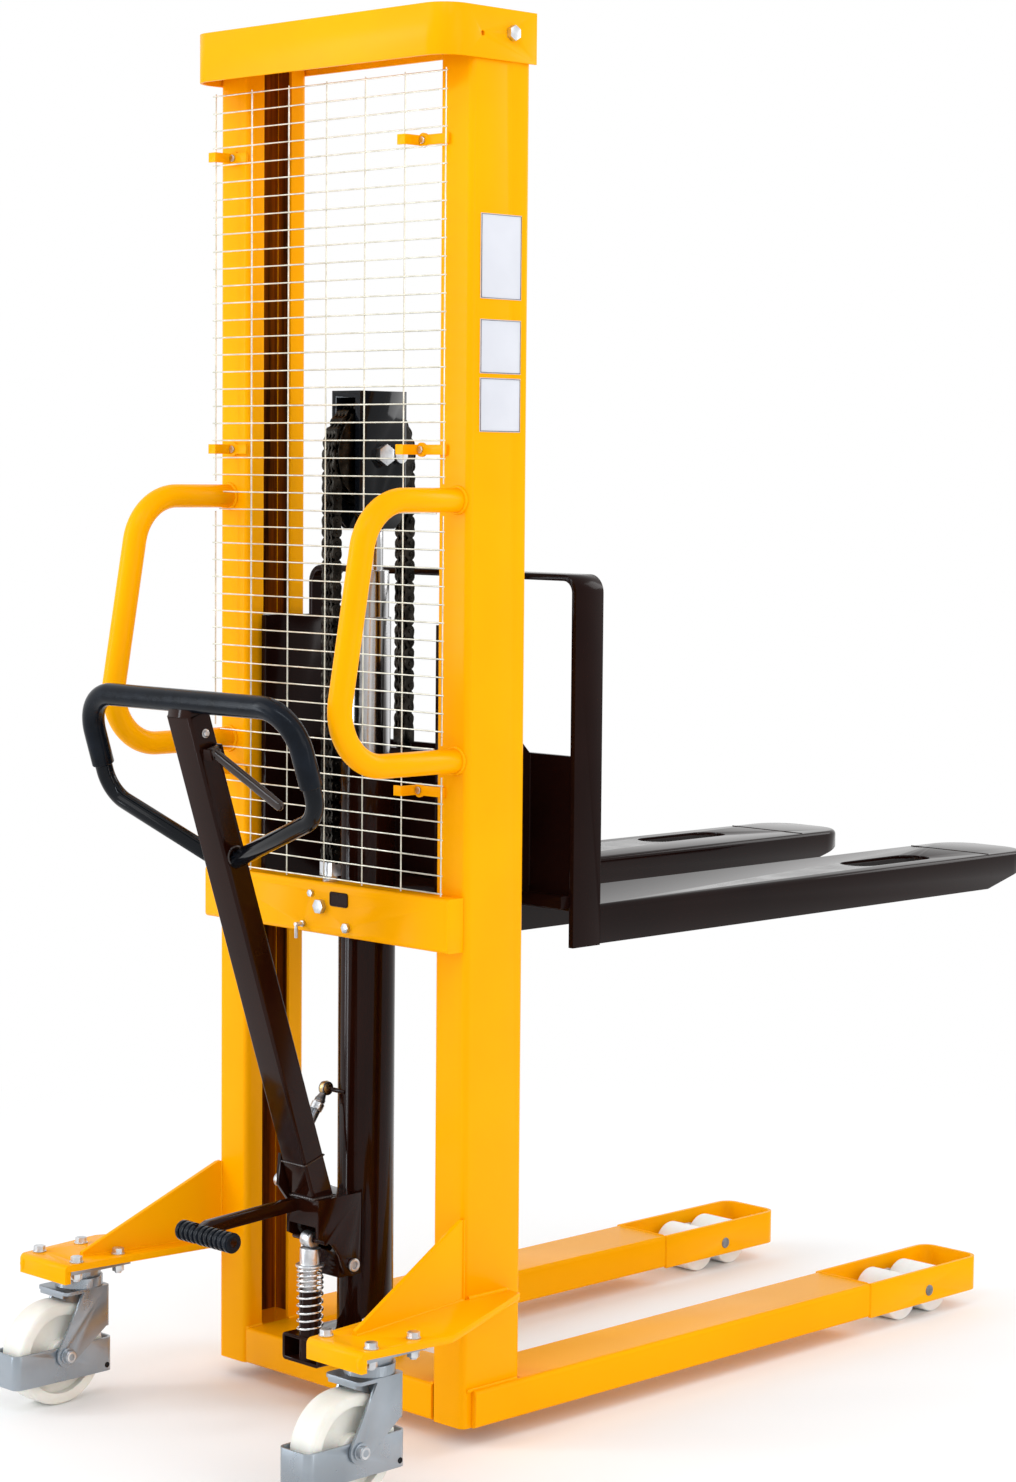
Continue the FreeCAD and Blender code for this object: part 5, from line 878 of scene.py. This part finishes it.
def place_camera():
    azimuth, elevation, roll = (math.radians(value) for value in CAMERA_ANGLES)
    level = math.cos(elevation)
    back = Vector((math.sin(azimuth) * level, -math.cos(azimuth) * level, math.sin(elevation)))
    right = (-back).cross(UP).normalized()
    above = right.cross(-back)
    turn = Matrix.Rotation(roll, 3, back)
    right, above = turn @ right, turn @ above
    camera = bpy.data.objects.new("camera", bpy.data.cameras.new("camera"))
    bpy.context.scene.collection.objects.link(camera)
    pose = Matrix((right, above, back)).transposed().to_4x4()
    pose.translation = CAMERA_PLACE
    camera.matrix_world = pose
    camera.data.sensor_width = SENSOR
    camera.data.lens = SENSOR * FOCAL / PHOTO_HIGH
    camera.data.shift_x = (PHOTO_WIDE / 2 - PHOTO_MIDDLE[0]) / PHOTO_HIGH
    camera.data.shift_y = (PHOTO_MIDDLE[1] - PHOTO_HIGH / 2) / PHOTO_HIGH
    camera.data.clip_end = 60
    bpy.context.scene.camera = camera


place_camera()

# Studio
AMBIENT = 0.87
FLOOR_HALF = 40
FLOOR_FADE = (0.7, 2.4)


def lamp(name, place, target, size, power, colour=(1, 1, 1)):
    light = bpy.data.lights.new(name, "AREA")
    light.shape = "RECTANGLE"
    light.size, light.size_y = size
    light.energy = power
    light.color = colour
    obj = bpy.data.objects.new(name, light)
    bpy.context.scene.collection.objects.link(obj)
    obj.location = place
    obj.rotation_euler = (Vector(target) - Vector(place)).to_track_quat("-Z", "Y").to_euler()


def seen_rays(tree):
    """1 for what the camera sees, directly, in a reflection or through glass."""
    rays = tree.nodes.new("ShaderNodeLightPath")
    total = rays.outputs["Is Camera Ray"]
    for name in ("Is Glossy Ray", "Is Transmission Ray"):
        most = tree.nodes.new("ShaderNodeMath")
        most.operation = "MAXIMUM"
        tree.links.new(total, most.inputs[0])
        tree.links.new(rays.outputs[name], most.inputs[1])
        total = most.outputs["Value"]
    return total


def studio():
    """White surroundings with soft lamps, and narrow strips for the highlights on the dark paint."""
    world = bpy.data.worlds.new("studio")
    bpy.context.scene.world = world
    world.use_nodes = True
    tree = world.node_tree
    background = tree.nodes["Background"]
    background.inputs["Color"].default_value = (1, 1, 1, 1)
    strength = tree.nodes.new("ShaderNodeMapRange")
    strength.inputs["To Min"].default_value = AMBIENT
    strength.inputs["To Max"].default_value = 1.0
    tree.links.new(seen_rays(tree), strength.inputs["Value"])
    tree.links.new(strength.outputs["Result"], background.inputs["Strength"])
    lamp("key", (-2.6, -4.6, 3.6), (0, -0.3, 0.9), (3.0, 3.0), 54)
    lamp("side", (4.6, -0.6, 2.6), (0, 0, 0.9), (2.0, 3.0), 30)
    lamp("front", (1.5, 4.2, 3.4), (0, 0.2, 0.8), (2.5, 2.0), 60)
    lamp("strip_left", (-2.4, -3.2, 1.4), (0, -0.4, 1.0), (0.4, 2.4), 34, (0.86, 0.93, 1.0))
    lamp("strip_above", (1.2, -2.2, 3.4), (0, -0.3, 0.9), (2.6, 0.2), 22, (0.8, 0.9, 1.0))
    lamp("strip_right", (4.0, 0.4, 1.2), (0, 0.1, 0.8), (0.12, 2.4), 10)


studio()


def floor():
    """Pale floor that keeps the shadow near the object and turns white further out."""
    mesh = bpy.data.meshes.new("floor")
    corners = [(x * FLOOR_HALF, y * FLOOR_HALF, 0) for x, y in ((-1, -1), (1, -1), (1, 1), (-1, 1))]
    mesh.from_pydata(corners, [], [(0, 1, 2, 3)])
    obj = bpy.data.objects.new("floor", mesh)
    bpy.context.scene.collection.objects.link(obj)
    mat = material("floor", (0.93, 0.93, 0.93), 0.7)
    tree = mat.node_tree
    where = tree.nodes.new("ShaderNodeTexCoord")
    reach = tree.nodes.new("ShaderNodeVectorMath")
    reach.operation = "LENGTH"
    fade = tree.nodes.new("ShaderNodeMapRange")
    fade.interpolation_type = "SMOOTHSTEP"
    fade.inputs["From Min"].default_value = FLOOR_FADE[0]
    fade.inputs["From Max"].default_value = FLOOR_FADE[1]
    share = tree.nodes.new("ShaderNodeMath")
    share.operation = "MULTIPLY"
    white = tree.nodes.new("ShaderNodeEmission")
    mix = tree.nodes.new("ShaderNodeMixShader")
    tree.links.new(where.outputs["Object"], reach.inputs[0])
    tree.links.new(reach.outputs["Value"], fade.inputs["Value"])
    tree.links.new(fade.outputs["Result"], share.inputs[0])
    tree.links.new(seen_rays(tree), share.inputs[1])
    tree.links.new(share.outputs["Value"], mix.inputs["Fac"])
    tree.links.new(shader_of(mat).outputs["BSDF"], mix.inputs[1])
    tree.links.new(white.outputs["Emission"], mix.inputs[2])
    tree.links.new(mix.outputs["Shader"], tree.nodes["Material Output"].inputs["Surface"])
    obj.data.materials.append(mat)


floor()

bpy.context.scene.view_settings.view_transform = "Standard"
